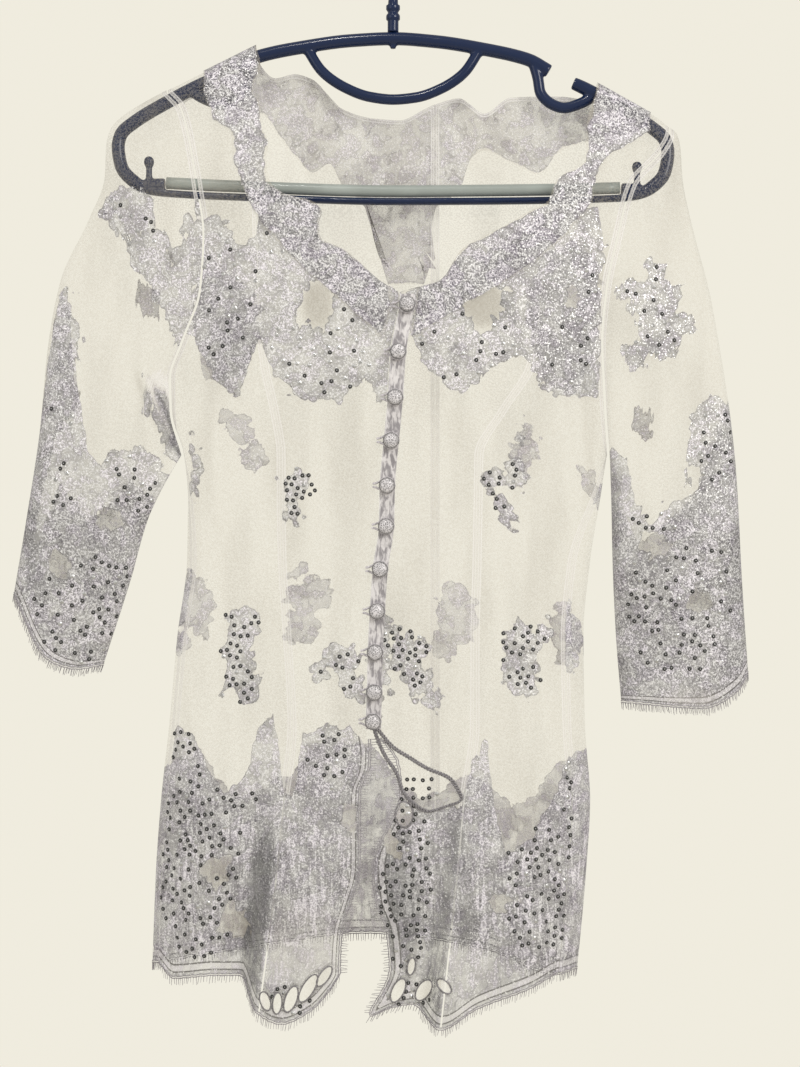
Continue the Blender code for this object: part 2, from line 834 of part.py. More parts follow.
def tube(name, path, sides, mat, collection=None, count=24, depth=1.0):
    """A tube in a plane of constant y. path(t) gives x, z, radius, and y if it has four values."""
    centres = [path(i / (count - 1)) for i in range(count)]
    mesh = bmesh.new()
    rings = []
    for i, here in enumerate(centres):
        before = centres[max(i - 1, 0)]
        after = centres[min(i + 1, count - 1)]
        along = Vector((after[0] - before[0], 0.0, after[1] - before[1])).normalized()
        across = Vector((-along.z, 0.0, along.x))
        y = here[3] if len(here) > 3 else 0.0
        ring = []
        for k in range(sides):
            turn = 2 * math.pi * (k + 0.5) / sides
            point = Vector((here[0], y, here[1])) + across * (here[2] * math.cos(turn))
            point.y += max(here[2], depth) * math.sin(turn)
            ring.append(mesh.verts.new(point * MM))
        rings.append(ring)
    for a, b in zip(rings, rings[1:]):
        for k in range(sides):
            m = (k + 1) % sides
            mesh.faces.new((a[k], a[m], b[m], b[k]))
    mesh.faces.new(list(reversed(rings[0])))
    mesh.faces.new(rings[-1])
    bmesh.ops.recalc_face_normals(mesh, faces=mesh.faces)
    return finish(name, mesh, mat, collection)


def tilted(rows):
    return [(row[0], row[1] - TUBE_TILT * row[0]) + tuple(row[2:]) for row in rows]


def mirrored(rows):
    other = [(-row[0],) + tuple(row[1:]) for row in reversed(rows[:-1])]
    return tilted(rows + other)


def even(rows, radius):
    return [(row[0], row[1], radius) for row in rows]


frame = tube("hanger_frame", Path(mirrored(HANGER_RING)), 8, NAVY, None, 48, 4.6)
joined = [tube("join_top", Path(mirrored(even(HANGER_TOP, 4.9))), 8, NAVY, cutters, 16)]
for side, name in enumerate(NAMES):
    sign = (1, -1)[side]
    notch = tilted([(sign * x, z, 4.2) for x, z in HANGER_NOTCH])
    joined.append(tube("join_notch_" + name, Path(notch), 8, NAVY, cutters, 10))
    peg_x = sign * -182.8
    peg_z = -193.5
    peg = [(peg_x, peg_z, 2.6), (peg_x, peg_z + 12.5, 2.4), (peg_x, peg_z + 14.0, 3.4),
           (peg_x, peg_z + 16.8, 4.0), (peg_x, peg_z + 19.6, 3.2), (peg_x, peg_z + 20.9, 1.2)]
    joined.append(tube("join_peg_" + name, Path(tilted(peg)), 6, NAVY, cutters, 9))
    socket = [(sign * -186.0, -191.6, 4.4), (sign * -172.2, -191.6, 5.2), (sign * -171.0, -191.6, 5.2)]
    joined.append(tube("join_socket_" + name, Path(tilted(socket)), 8, NAVY, cutters, 3))
joined.append(tube("join_loop", Path(mirrored(even(HANGER_LOOP, 4.0))), 8, NAVY, cutters, 14))
nub = [(0.0, -82.0, 2.6), (0.0, -87.4, 2.2)]
joined.append(tube("join_nub", Path(nub), 6, NAVY, cutters, 2))
for other in joined:
    union = frame.modifiers.new(other.name, "BOOLEAN")
    union.operation = "UNION"
    union.solver = "EXACT"
    union.object = other
    other.hide_render = True
    other.display_type = "WIRE"

bar = [(-169.8, -190.0, 4.4), (-122.2, -191.8, 4.4), (0.0, -194.2, 4.4)]
tube("hanger_bar", Path(mirrored(bar)), 10, GREY, None, 12)

hook = [(0.0, -75.0, 4.1)]
for rib in (-65.5, -58.5):
    hook += [(0.0, rib - 1.0, 4.1), (0.0, rib, 5.2), (0.0, rib + 3.2, 5.2), (0.0, rib + 4.2, 3.8)]
hook += [(0.5, -46.0, 3.5), (7.0, -37.5, 3.5), (16.5, -29.5, 3.5)]
for step in range(12):
    turn = math.radians(-15 + 19.5 * step)
    hook.append((HOOK_RADIUS * math.cos(turn), -HOOK_RADIUS + HOOK_TUBE + HOOK_RADIUS * math.sin(turn), HOOK_TUBE))
tube("hanger_hook", Path(hook), 8, NAVY, None, 34)


for number, (x, z) in enumerate(BUTTONS, 1):
    angle = front_angle(x, z)
    base = on_body(angle, z)
    normal = (on_body(angle, z, 1.0) - base).normalized()
    across = Vector((1.0, 0.0, 0.0))
    across = (across - normal * across.dot(normal)).normalized()
    up = normal.cross(across).normalized()
    if up.z < 0:
        up = -up
    lift = CLOTH / 2 + GAP + CLOTH + GAP + BUTTON_DEPTH / 2
    mesh = bmesh.new()
    bmesh.ops.create_uvsphere(mesh, u_segments=8, v_segments=6, radius=1.0)
    for vert in mesh.verts:
        local = vert.co.copy()
        point = base + across * (local.x * BUTTON / 2) + up * (local.y * BUTTON / 2)
        vert.co = (point + normal * (lift + local.z * BUTTON_DEPTH / 2)) * MM
    bmesh.ops.recalc_face_normals(mesh, faces=mesh.faces)
    finish("button_%02d" % number, mesh, LACE)
    shape = [(-10.5, 1.2, 1.7), (-8.2, 1.5, 2.2), (-4.6, 3.2, 2.95)]
    for step in range(5):
        turn = math.radians(120 - 60 * step)
        shape.append((5.5 * math.cos(turn), 5.5 * math.sin(turn), 2.95))
    shape += [(-4.6, -3.2, 2.95), (-8.2, -1.5, 2.2), (-10.5, -1.2, 1.7)]
    centres = [base + across * u + up * v + normal * w for u, v, w in shape]
    mesh = bmesh.new()
    rings = []
    for i, here in enumerate(centres):
        along = (centres[min(i + 1, len(centres) - 1)] - centres[max(i - 1, 0)]).normalized()
        flat = along.cross(normal).normalized()
        high = flat.cross(along).normalized()
        ring = []
        for k in range(4):
            turn = math.pi / 2 * k
            point = here + (flat * math.cos(turn) + high * math.sin(turn)) * (LOOP / 2)
            ring.append(mesh.verts.new(point * MM))
        rings.append(ring)
    for a, b in zip(rings, rings[1:]):
        for k in range(4):
            mesh.faces.new((a[k], a[(k + 1) % 4], b[(k + 1) % 4], b[k]))
    mesh.faces.new(list(reversed(rings[0])))
    mesh.faces.new(rings[-1])
    bmesh.ops.recalc_face_normals(mesh, faces=mesh.faces)
    finish("button_loop_%02d" % number, mesh, SATIN)
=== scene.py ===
import math
import random

import bmesh
import bpy
import numpy as np
from mathutils import Matrix, Vector


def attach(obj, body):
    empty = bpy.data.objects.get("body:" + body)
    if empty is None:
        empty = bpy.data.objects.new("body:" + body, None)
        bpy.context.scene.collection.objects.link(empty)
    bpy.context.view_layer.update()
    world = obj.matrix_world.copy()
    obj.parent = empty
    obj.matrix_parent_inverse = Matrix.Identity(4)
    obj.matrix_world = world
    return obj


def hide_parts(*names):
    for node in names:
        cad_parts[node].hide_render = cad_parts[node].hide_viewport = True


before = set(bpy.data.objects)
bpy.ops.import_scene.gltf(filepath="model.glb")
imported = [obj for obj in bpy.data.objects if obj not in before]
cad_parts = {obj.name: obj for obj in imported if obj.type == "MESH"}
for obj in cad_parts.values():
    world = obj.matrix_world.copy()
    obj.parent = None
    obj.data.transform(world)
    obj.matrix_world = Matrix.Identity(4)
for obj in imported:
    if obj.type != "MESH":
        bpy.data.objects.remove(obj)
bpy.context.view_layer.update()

# Lengths are millimetres until a mesh is written. x, z pairs are as the camera sees them from the front.
MM = 0.001
CLOTH = 1.0
GAP = 0.3
FOLD_RADIUS = 7.0
FOLD_LIFT = 1.0
SPREAD = 0.32
VIEW = 1300.0
VIEW_X = 5.2
VIEW_Z = -451.0
ARMPIT_Z = -392.25
NECK_Z = -270.8
PLACKET = 12.0
BUTTON = 12.0
BUTTON_DEPTH = 8.4
SHOULDER_SEAM = 10.0
CENTRE_BACK_X = 31.5
TUBE_TILT = 0.0107
HOOK_RADIUS = 21.5
HOOK_TUBE = 3.5
PIXEL = 0.75
PHOTO_MIDDLE = 393.0  # the pixel column at x 0
PHOTO_TOP = -51.0  # the height of the photo's top edge
PHOTO_ROWS = 1067
FAR = 60.0  # stands for no edge nearby
LOBE = 7.0  # the lace edge's small round lobes
PETAL = 14.0  # the petals whose tones differ
RUFFLE = 11.0  # how far the lobes reach in and out
SLEEVE_LENGTH = 430.0
HEM_STEP = 3.0  # from a hem to the row that says which way is out
LASH_START = 1.2
SEQUIN_ROOM = 4.5
SEQUIN_RADIUS = 1.65
SEQUIN_TOP = 0.42
SEQUIN_HEIGHT = 0.5
LOOP_LIFT = 2.95
PEG_X = 183.0
PEG_Z = -191.0
SOCKET_Z = -191.6

BODY = [  # z, left edge, right edge, front depth, back depth, left princess seam, right princess seam
    (-73.5, -206.2, 230.2, 24, 15, -120.8, 164.2),
    (-120, -202.4, 222.5, 25.6, 15.5, -116.9, 164.2),
    (-163.5, -198.8, 215.2, 27, 16, -108.8, 153.8),
    (-193.5, -192.1, 206.9, 28.8, 16.9, -102.8, 134.2),
    (-223.5, -185.4, 198.6, 30.6, 17.8, -102.2, 115.5),
    (-276, -180.9, 188.1, 33.2, 18.8, -101.2, 111),
    (-324, -177, 177.8, 34, 19, -96.5, 103.5),
    (-358.5, -168.4, 169.1, 32.4, 18.2, -89.1, 82.5),
    (-392.2, -156.8, 160.5, 30, 17, -84, 64.4),
    (-426, -153.8, 155.2, 28, 16, -84, 63.8),
    (-471, -154.5, 147.8, 27, 16, -83.2, 63),
    (-527.2, -161.7, 142.8, 27.7, 16, -79.5, 61.5),
    (-595.5, -168, 144, 30, 17, -75.8, 61.3),
    (-651, -174, 147.8, 32, 18, -81.8, 53.4),
    (-703.5, -177.8, 144.8, 34, 19, -87, 48.5),
    (-827.2, -182.2, 132.8, 36, 20, -102.8, 35.2),
]

ARMHOLE = [  # z, left seam, right seam
    (-120.2, -168.8, 207),
    (-131.2, -159, 207),
    (-150.8, -153.3, 207),
    (-163.5, -150.8, 201),
    (-189, -146.5, 178.5),
    (-227.2, -141.5, 168.1),
    (-268.5, -144.1, 159.3),
    (-308.2, -157.9, 156),
    (-334.5, -166.4, 157),
    (-358.5, -165.8, 158.2),
    (-392.2, -156.8, 160.5),
]

NECK = [  # z, left neck edge, left lace's outer edge, right neck edge, right lace's outer edge
    (-87.4, -102, -141.8, 153, 192.8),
    (-99.8, -99, -141.8, 153, 192.8),
    (-120, -105, -141.8, 151.7, 192.8),
    (-127.5, -99.8, -140, 149.2, 192.8),
    (-141, -99.2, -134.8, 145.2, 192.8),
    (-149.2, -97, -121.5, 144.6, 192.8),
    (-157.5, -93.2, -120.7, 144.4, 181.1),
    (-171, -94.5, -119.5, 144, 159.3),
    (-186, -92.2, -115, 122.2, 151.9),
    (-196.5, -81, -110.9, 117.9, 150.4),
    (-201.8, -60.1, -108, 115.7, 149.7),
    (-210, -53.2, -103.5, 100.8, 144.7),
    (-219, -55.2, -98.7, 85.4, 136.9),
    (-228.8, -54.2, -89.9, 66.9, 128.1),
    (-237.8, -36.9, -81.5, 51.3, 118.1),
    (-261, -9.8, -57.2, 35.2, 86.1),
    (-270.8, 4.5, -46.5, 4.5, 68.9),
    (-298.5, 4.5, -14.2, 4.5, 23.2),
]

BACK_NECK = [  # x, neck edge, lace's lower edge
    (-141.8, -106.9, -129),
    (-102, -87.4, -135.2),
    (-99, -100.5, -135.6),
    (-88.5, -109.5, -148.5),
    (-74.2, -106.5, -167.2),
    (-60.8, -110.2, -180),
    (-47.2, -123.8, -173.2),
    (-39, -132, -189),
    (-18.8, -139, -210),
    (-12.8, -139.8, -264),
    (5.2, -141, -264),
    (24, -132.4, -264),
    (31.5, -129, -209.3),
    (50.2, -124.5, -192.7),
    (57.8, -129.2, -171),
    (68.2, -135.8, -163.3),
    (88.5, -123.8, -172.2),
    (109.5, -123.3, -181.5),
    (125.2, -123.3, -163.9),
    (147.8, -126, -156.7),
    (153, -115.9, -155.8),
    (192.8, -141.5, -149.2),
]

SHOULDER = [  # x, z of the fold over the hanger
    (-213, -156),
    (-199.5, -137.6),
    (-168.8, -119.6),
    (-102, -86.4),
    (0, -70.5),
    (101.2, -88.5),
    (153, -114.9),
    (198.8, -140.6),
    (207, -147.8),
    (215.2, -160),
]

FRONT_HEM = [  # x, z
    (-176, -771),
    (-164.2, -783),
    (-133.5, -780.8),
    (-114, -780.8),
    (-102.8, -808.5),
    (-84, -817.5),
    (-63, -808.5),
    (-47.2, -792),
    (-39.8, -782.2),
    (-17.2, -811.5),
    (-1.5, -805.5),
    (15, -802.5),
    (35.2, -822),
    (63, -806.2),
    (103.5, -790.5),
    (122.3, -780),
    (137.2, -775.5),
]

BACK_HEM = [  # x, z, between the front hem's ends
    (-107.2, -759.8),
    (-21, -749.2),
    (65.2, -760),
]

FRONT_EDGE = [  # z, left front, right front
    (-596.2, -21, -21),
    (-609.8, -18, -3.8),
    (-624, -18.3, 4.5),
    (-645, -25.7, 6.5),
    (-702, -25.9, -14.2),
    (-726, -32.2, -12),
    (-750, -39.5, -3.8),
    (-777, -40.8, -1.5),
    (-811.5, -39.8, -17.2),
]

BUTTONS = [  # x, z
    (10.5, -279.8),
    (3.8, -315),
    (1.5, -348.8),
    (-1.5, -381),
    (-4.5, -414.8),
    (-5.2, -445.5),
    (-9.8, -477.8),
    (-12, -509.2),
    (-13.5, -540),
    (-14.2, -570),
    (-15, -591.8),
]

SLEEVES = [  # for each side: the outer fold, the cuff's middle and the inner fold, as x, z
    ([(-168.8, -119.6), (-200, -135.8), (-211.4, -147), (-215.2, -160), (-216.2, -183), (-228.8, -216.8),
      (-249, -260.2), (-258.8, -310.5), (-264.8, -372.8), (-274.5, -437.2), (-284.2, -495)],
     [(-258.8, -543.8), (-237, -551.2)],
     [(-156.8, -392.2), (-172.5, -419.2), (-183, -441.8), (-195.8, -485.2), (-216.8, -548.2)]),
    ([(207, -147.8), (211.8, -152.2), (215.4, -165), (217.2, -186), (223.5, -216.8), (239.2, -279),
      (257.2, -403.5), (261.8, -488.2), (266.2, -554.2)],
     [(258.8, -567), (232.5, -580.5)],
     [(160.5, -392.2), (162, -426), (163.5, -473.2), (166.5, -526.5), (171, -576)]),
]

FOLDS = [  # side, x top, z top, x bottom, z bottom, depth, width
    (-1, -77.2, -606, -102.8, -816, 14, 10),
    (-1, -98.2, -621, -117.8, -789.8, -11, 13),
    (-1, -15.8, -609.8, -41.2, -789.8, -9, 20),
    (-1, -47.2, -651, -68.2, -812.2, 5, 14),
    (-1, 61.5, -606, 35.2, -822.8, 14, 10),
    (-1, 44.2, -636, 15.8, -808.5, -9, 13),
    (-1, -9.8, -609.8, -11.2, -808.5, -9, 18),
    (-1, 102.8, -643.5, 95.2, -793.5, 6, 20),
    (-1, -125.2, -441, -144.8, -774.8, 4, 16),
    (1, -69.8, -501, -77.2, -763.5, 6, 22),
    (1, 5.2, -501, 5.2, -752.2, -5, 24),
    (1, 80.2, -501, 84, -763.5, 6, 22),
]

CREASES = [  # side, x top, z top, x bottom, z bottom, depth, width: the soft creases that the solids leave out
    (-1, -120, -300, -60, -470, 2.2, 7),
    (-1, -135, -330, -120, -520, -1.8, 6),
    (-1, -40, -330, -30, -600, 1.6, 9),
    (-1, -60, -470, -58, -640, 1.4, 6),
    (-1, 30, -320, 28, -600, 1.8, 8),
    (-1, 90, -300, 40, -480, 2.0, 8),
    (-1, 120, -330, 118, -560, -1.8, 7),
    (-1, 96, -430, 90, -640, 1.6, 6),
    (-1, -150, -560, -160, -760, 1.8, 7),
    (-1, -90, -700, -110, -800, 2.0, 5),
    (-1, 10, -700, 0, -800, 1.8, 6),
    (-1, 80, -700, 70, -800, 1.6, 7),
    (-1, 120, -660, 116, -780, -2.0, 6),
    (1, -110, -260, -90, -520, 2.0, 9),
    (1, -30, -260, -36, -560, -1.6, 8),
    (1, 90, -260, 84, -540, 2.0, 9),
    (1, 130, -300, 120, -600, -1.8, 8),
]


class Curve:
    """A smooth line through pairs that never overshoots them, for a number or an array."""

    def __init__(self, pairs):
        pairs = sorted(pairs)
        self.keys = np.array([pair[0] for pair in pairs], float)
        self.values = np.array([pair[1] for pair in pairs], float)
        self.widths = np.diff(self.keys)
        steps = np.diff(self.values) / self.widths
        before, after = steps[:-1], steps[1:]
        total = np.where(before * after > 0, before + after, 1.0)
        inner = np.where(before * after > 0, 2 * before * after / total, 0.0)
        self.slopes = np.concatenate((steps[:1], inner, steps[-1:]))

    def __call__(self, key):
        key = np.clip(key, self.keys[0], self.keys[-1])
        i = np.clip(np.searchsorted(self.keys, key) - 1, 0, len(self.widths) - 1)
        width = self.widths[i]
        t = (key - self.keys[i]) / width
        level = (1 + 2 * t) * (1 - t) ** 2 * self.values[i] + t * t * (3 - 2 * t) * self.values[i + 1]
        return level + width * (t * (1 - t) ** 2 * self.slopes[i] - t * t * (1 - t) * self.slopes[i + 1])


class Path:
    """A smooth path through rows of points, from 0 to 1 by length."""

    def __init__(self, rows):
        length = [0.0]
        for a, b in zip(rows, rows[1:]):
            length.append(length[-1] + math.hypot(b[0] - a[0], b[1] - a[1]))
        self.length = length[-1]
        self.curves = [Curve([(s / length[-1], row[k]) for s, row in zip(length, rows)])
                       for k in range(len(rows[0]))]

    def __call__(self, t):
        return [curve(t) for curve in self.curves]


def column(table, index):
    return Curve([(row[0], row[index]) for row in table])


def mix(a, b, t):
    return a + (b - a) * t


def ease(t):
    t = np.clip(t, 0.0, 1.0)
    return t * t * (3 - 2 * t)


def straight(pairs):
    xs = [pair[0] for pair in pairs]
    zs = [pair[1] for pair in pairs]
    return lambda x: np.interp(x, xs, zs)


LEFT_EDGE = column(BODY, 1)
RIGHT_EDGE = column(BODY, 2)
FRONT_DEPTH = column(BODY, 3)
BACK_DEPTH = column(BODY, 4)
PRINCESS = [column(BODY, 5), column(BODY, 6)]
ARM = [column(ARMHOLE, 1), column(ARMHOLE, 2)]
NECK_IN = [column(NECK, 1), column(NECK, 3)]
NECK_OUT = [column(NECK, 2), column(NECK, 4)]
BACK_TOP = column(BACK_NECK, 1)
BACK_LACE = column(BACK_NECK, 2)
FOLD_LINE = straight(SHOULDER)
HEM_FRONT = column(FRONT_HEM, 1)
HEM_BACK = column(FRONT_HEM[:1] + BACK_HEM + FRONT_HEM[-2:], 1)
OPEN_EDGE = [column(FRONT_EDGE, 1), column(FRONT_EDGE, 2)]
BUTTON_LINE = Curve([(z, x) for x, z in BUTTONS])
OPEN_Z = FRONT_EDGE[0][0]
NAMES = ("left", "right")


def seen(x, y, z):
    """Points whose outline is as the camera sees it, brought to their own depth."""
    scale = 1.0 + y / VIEW
    return np.stack(np.broadcast_arrays(VIEW_X + (x - VIEW_X) * scale, y, VIEW_Z + (z - VIEW_Z) * scale), axis=-1)


def shoulder(x):
    return FOLD_LINE(x) + FOLD_LIFT


def middle(z):
    return (LEFT_EDGE(z) + RIGHT_EDGE(z)) / 2


def half(z):
    return (RIGHT_EDGE(z) - LEFT_EDGE(z)) / 2


def ridges(table, side, x, z):
    total = 0.0
    for row_side, x_top, z_top, x_low, z_low, depth, width in table:
        t = (z_top - z) / (z_top - z_low)
        line = mix(x_top, x_low, t)
        total = total + np.where(side == row_side, depth * ease(t) * np.exp(-((x - line) / width) ** 2), 0.0)
    return total


def soft_creases(side, x, z):
    total = 0.0
    for row_side, x_top, z_top, x_low, z_low, depth, width in CREASES:
        t = (z_top - z) / (z_top - z_low)
        line = mix(x_top, x_low, t) + 2.5 * np.sin(z / 31.0 + x_top)
        bell = np.exp(-((x - line) / width) ** 2) * ease(t * 3) * ease((1 - t) * 3)
        total = total + np.where(side == row_side, 0.5 * depth * bell, 0.0)
    return total


def hang_depth(side, x, z, cosine):
    """How far the front (side -1) or back (side 1) lies from the hanger's plane."""
    drop = np.maximum(0.0, shoulder(x) - z)
    near = np.sqrt(np.maximum(0.0, drop * (2 * FOLD_RADIUS - drop)))
    arc = np.where(drop < FOLD_RADIUS, near, FOLD_RADIUS + SPREAD * (drop - FOLD_RADIUS))
    full = np.where(side < 0, FRONT_DEPTH(z), BACK_DEPTH(z))
    waves = ridges(FOLDS, side, x, z) * np.minimum(1.0, 1.6 * cosine)
    waves = waves + soft_creases(side, x, z) * ease(cosine * 2)
    wide = np.maximum(full * cosine ** 0.7 + waves, 0.5)
    return (np.maximum(arc, 0.01) ** -4 + wide ** -4) ** -0.25


def body_point(angle, z):
    cosine = np.cos(angle)
    x = middle(z) + half(z) * np.sin(angle)
    side = np.where(cosine >= 0, -1.0, 1.0)
    return seen(x, side * hang_depth(side, x, z, np.abs(cosine)), z)


def unit(vectors):
    return vectors / np.maximum(np.linalg.norm(vectors, axis=-1, keepdims=True), 1e-9)


def on_body(angle, z, out=0.0):
    point = body_point(angle, z)
    across = body_point(angle + 0.01, z) - body_point(angle - 0.01, z)
    down = body_point(angle, z - 0.6) - body_point(angle, z + 0.6)
    normal = unit(np.cross(across, down))
    away = np.stack(np.broadcast_arrays(np.sin(angle), -np.cos(angle), 0.0 * z), axis=-1)
    normal = np.where(np.sum(normal * away, axis=-1, keepdims=True) < 0, -normal, normal)
    x = middle(z) + half(z) * np.sin(angle)
    rise = (shoulder(x + 1.0) - shoulder(x - 1.0)) / 2
    near = np.clip(1.0 - np.maximum(0.0, shoulder(x) - z) / FOLD_RADIUS, 0.0, 1.0)
    side = np.where(np.cos(angle) >= 0, -1.0, 1.0)
    crest = unit(np.stack((-rise * near, side * np.sqrt(1 - near ** 2), near), axis=-1))
    share = ease(near * 3)[..., None]
    return point + unit(mix(normal, crest, share)) * np.asarray(out)[..., None]


def front_angle(x, z):
    return np.arcsin(np.clip((x - middle(z)) / half(z), -1.0, 1.0))


def back_angle(x, z):
    return -math.pi - front_angle(x, z)


def shifted(angle, z, distance):
    speed = np.linalg.norm(body_point(angle + 0.004, z) - body_point(angle - 0.004, z), axis=-1) / 0.008
    return angle + distance / np.maximum(speed, 1.0)


def side_seam(side, z):
    inside = (4.5, 13.5)[side] * ease((ARMPIT_Z - z) / 85.0)
    return front_angle(LEFT_EDGE(z) + inside if side == 0 else RIGHT_EDGE(z) - inside, z)


def front_outer(side, z):
    sign = (1, -1)[side]
    return np.where(z > ARMPIT_Z, front_angle(ARM[side](z), z), shifted(side_seam(side, z), z, sign * 0.4))


def back_outer(side, z):
    sign = (1, -1)[side]
    low = shifted(side_seam(side, z), z, -sign * 0.4) - (0.0, 2 * math.pi)[side]
    return np.where(z > ARMPIT_Z, back_angle(ARM[side](z), z), low)


def back_inner(side, z):
    return shifted(back_angle(CENTRE_BACK_X, z), z, (1, -1)[side] * GAP / 2)


def princess(side, z, sign):
    gap = GAP + 0.9 * ease((-520.0 - z) / 160.0)
    return shifted(front_angle(PRINCESS[side](z), z), z, sign * gap / 2)


def centre_front(z):
    return BUTTON_LINE(z) - PLACKET / 2


def inner_edge(side, z):
    """Neck edge, then the centre-front line, then the open edge below the buttons."""
    x = np.where(z > NECK_Z, NECK_IN[side](z), np.where(z > OPEN_Z, centre_front(z), OPEN_EDGE[side](z)))
    return shifted(front_angle(x, z), z, (-1, 1)[side] * (GAP / 2 + 0.1))


def lace_inner(side, z):
    angle = shifted(inner_edge(side, z), z, (-0.2, 0.2)[side])
    if side == 0:
        return np.minimum(angle, front_angle(BUTTON_LINE(z) - 12.0, z))
    low = np.maximum(angle, front_angle(BUTTON_LINE(z) + PLACKET / 2 + 1.0, z))
    return np.where(z < NECK_Z + 6.0, low, angle)


def back_line(x):
    return np.minimum(shoulder(x) - SHOULDER_SEAM - 1.7, BACK_TOP(x))


class Cut:
    """A cloth piece between two edges, cut above and below along two lines."""

    def __init__(self, left, right, top, bottom, start, end, out=0.0, over=False):
        self.left, self.right, self.top, self.bottom = left, right, top, bottom
        self.start, self.end, self.out, self.over = start, end, out, over

    def view_x(self, c, z):
        return middle(z) + half(z) * np.sin(mix(self.left(z), self.right(z), c))

    def meet(self, c, start, line, drop=0.0):
        z = np.full_like(c, start)
        for turn in range(30):
            z = mix(z, line(self.view_x(c, z)) - drop, 0.5)
        return z

    def heights(self, c, rows):
        """Heights down each column: round the fold first where the piece reaches over it."""
        low = self.meet(c, self.end, self.bottom)
        drops = []
        if self.over:
            drops = [-SHOULDER_SEAM, -8.5, -7.0, -5.5, -4.2, -3.0, -2.0, -1.2, -0.6, -0.2, 0.0, 0.2, 0.6, 1.2, 2.0,
                     3.0, 4.2, 5.5]
        levels = [self.meet(c, self.start, self.top, abs(drop)) for drop in drops]
        top = self.meet(c, self.start, self.top, 7.0 if self.over else 0.0)
        levels += [mix(top, low, k / rows) for k in range(rows + 1)]
        behind = [drop < 0 for drop in drops] + [False] * (rows + 1)
        return np.array(levels), np.array(behind)

    def place(self, c, z, behind=False):
        angle = mix(self.left(z), self.right(z), c)
        angle = np.where(behind, back_angle(middle(z) + half(z) * np.sin(angle), z), angle)
        return on_body(angle, z, self.out) if self.out else body_point(angle, z)


class Sleeve:
    """Spans its armhole line, its two hanging folds and its cuff."""

    def __init__(self, side, panel):
        outer, cuff, inner = SLEEVES[side]
        self.side = side
        self.outer = Path(outer)
        self.inner = Path(inner)
        self.cuff = Path(outer[-1:] + cuff + inner[-1:])
        self.top = float(panel.meet(np.array([0.0]), panel.start, panel.top)[0])

    def armhole(self, s):
        z = mix(self.top, ARMPIT_Z, s)
        x = ARM[self.side](z)
        return x + (-1, 1)[self.side] * (1.2 + 0.8 * s), z, x

    def flat(self, s, t):
        x0, z0, seam = self.armhole(s)
        xs, zs, seam = self.armhole(0.0 * s)
        xp, zp, seam = self.armhole(0.0 * s + 1.0)
        xo, zo = self.outer(t)
        xi, zi = self.inner(t)
        xc, zc = self.cuff(s)
        x_start, z_start = self.outer(0.0)
        x_under, z_under = self.inner(0.0)
        fade = 1 - ease(t / 0.08)
        xo = xo + (xs - x_start) * fade
        zo = zo + (zs - z_start) * fade
        xi = xi + (xp - x_under) * (1 - t)
        zi = zi + (zp - z_under) * (1 - t)
        xa, za = self.cuff(0.0)
        xb, zb = self.cuff(1.0)
        x = mix(x0, xc, t) + mix(xo, xi, s) - mix(mix(xs, xp, s), mix(xa, xb, s), t)
        z = mix(z0, zc, t) + mix(zo, zi, s) - mix(mix(zs, zp, s), mix(za, zb, s), t)
        return x, z

    def place(self, turn, t):
        """turn runs 0-1 over the front from the outer fold, 1-2 back behind."""
        side = np.where(turn <= 1.0, -1.0, 1.0)
        s = (1 - np.cos(math.pi * turn)) / 2
        x, z = self.flat(s, t)
        x0, z0, seam = self.armhole(s)
        cosine = np.cos(front_angle(seam, z0))
        start = hang_depth(side, seam, z0, cosine)
        full = np.where(side < 0, mix(20.0, 13.0, t), mix(15.0, 10.0, t))
        xo, zo = self.flat(0.0 * s, t)
        xi, zi = self.flat(0.0 * s + 1.0, t)
        away = np.minimum(s * np.hypot(xo - xi, zo - zi), FOLD_RADIUS)
        arc = np.sqrt(np.maximum(0.0, away * (2 * FOLD_RADIUS - away))) * np.sqrt(1 - s)
        tube = ((full * np.abs(np.sin(math.pi * turn))) ** 4 + arc ** 4) ** 0.25
        depth = mix(start, tube, ease(t / 0.3))
        slack = np.sin(9.0 * s + 5.0 * t + self.side) * np.sin(14.0 * t + 3.0 * s) + 0.6 * np.sin(21.0 * t - 7.0 * s)
        depth = depth + 1.1 * slack * ease(t / 0.2) * ease((1 - t) / 0.1) * np.sin(math.pi * s)
        return seen(x, side * depth, z)


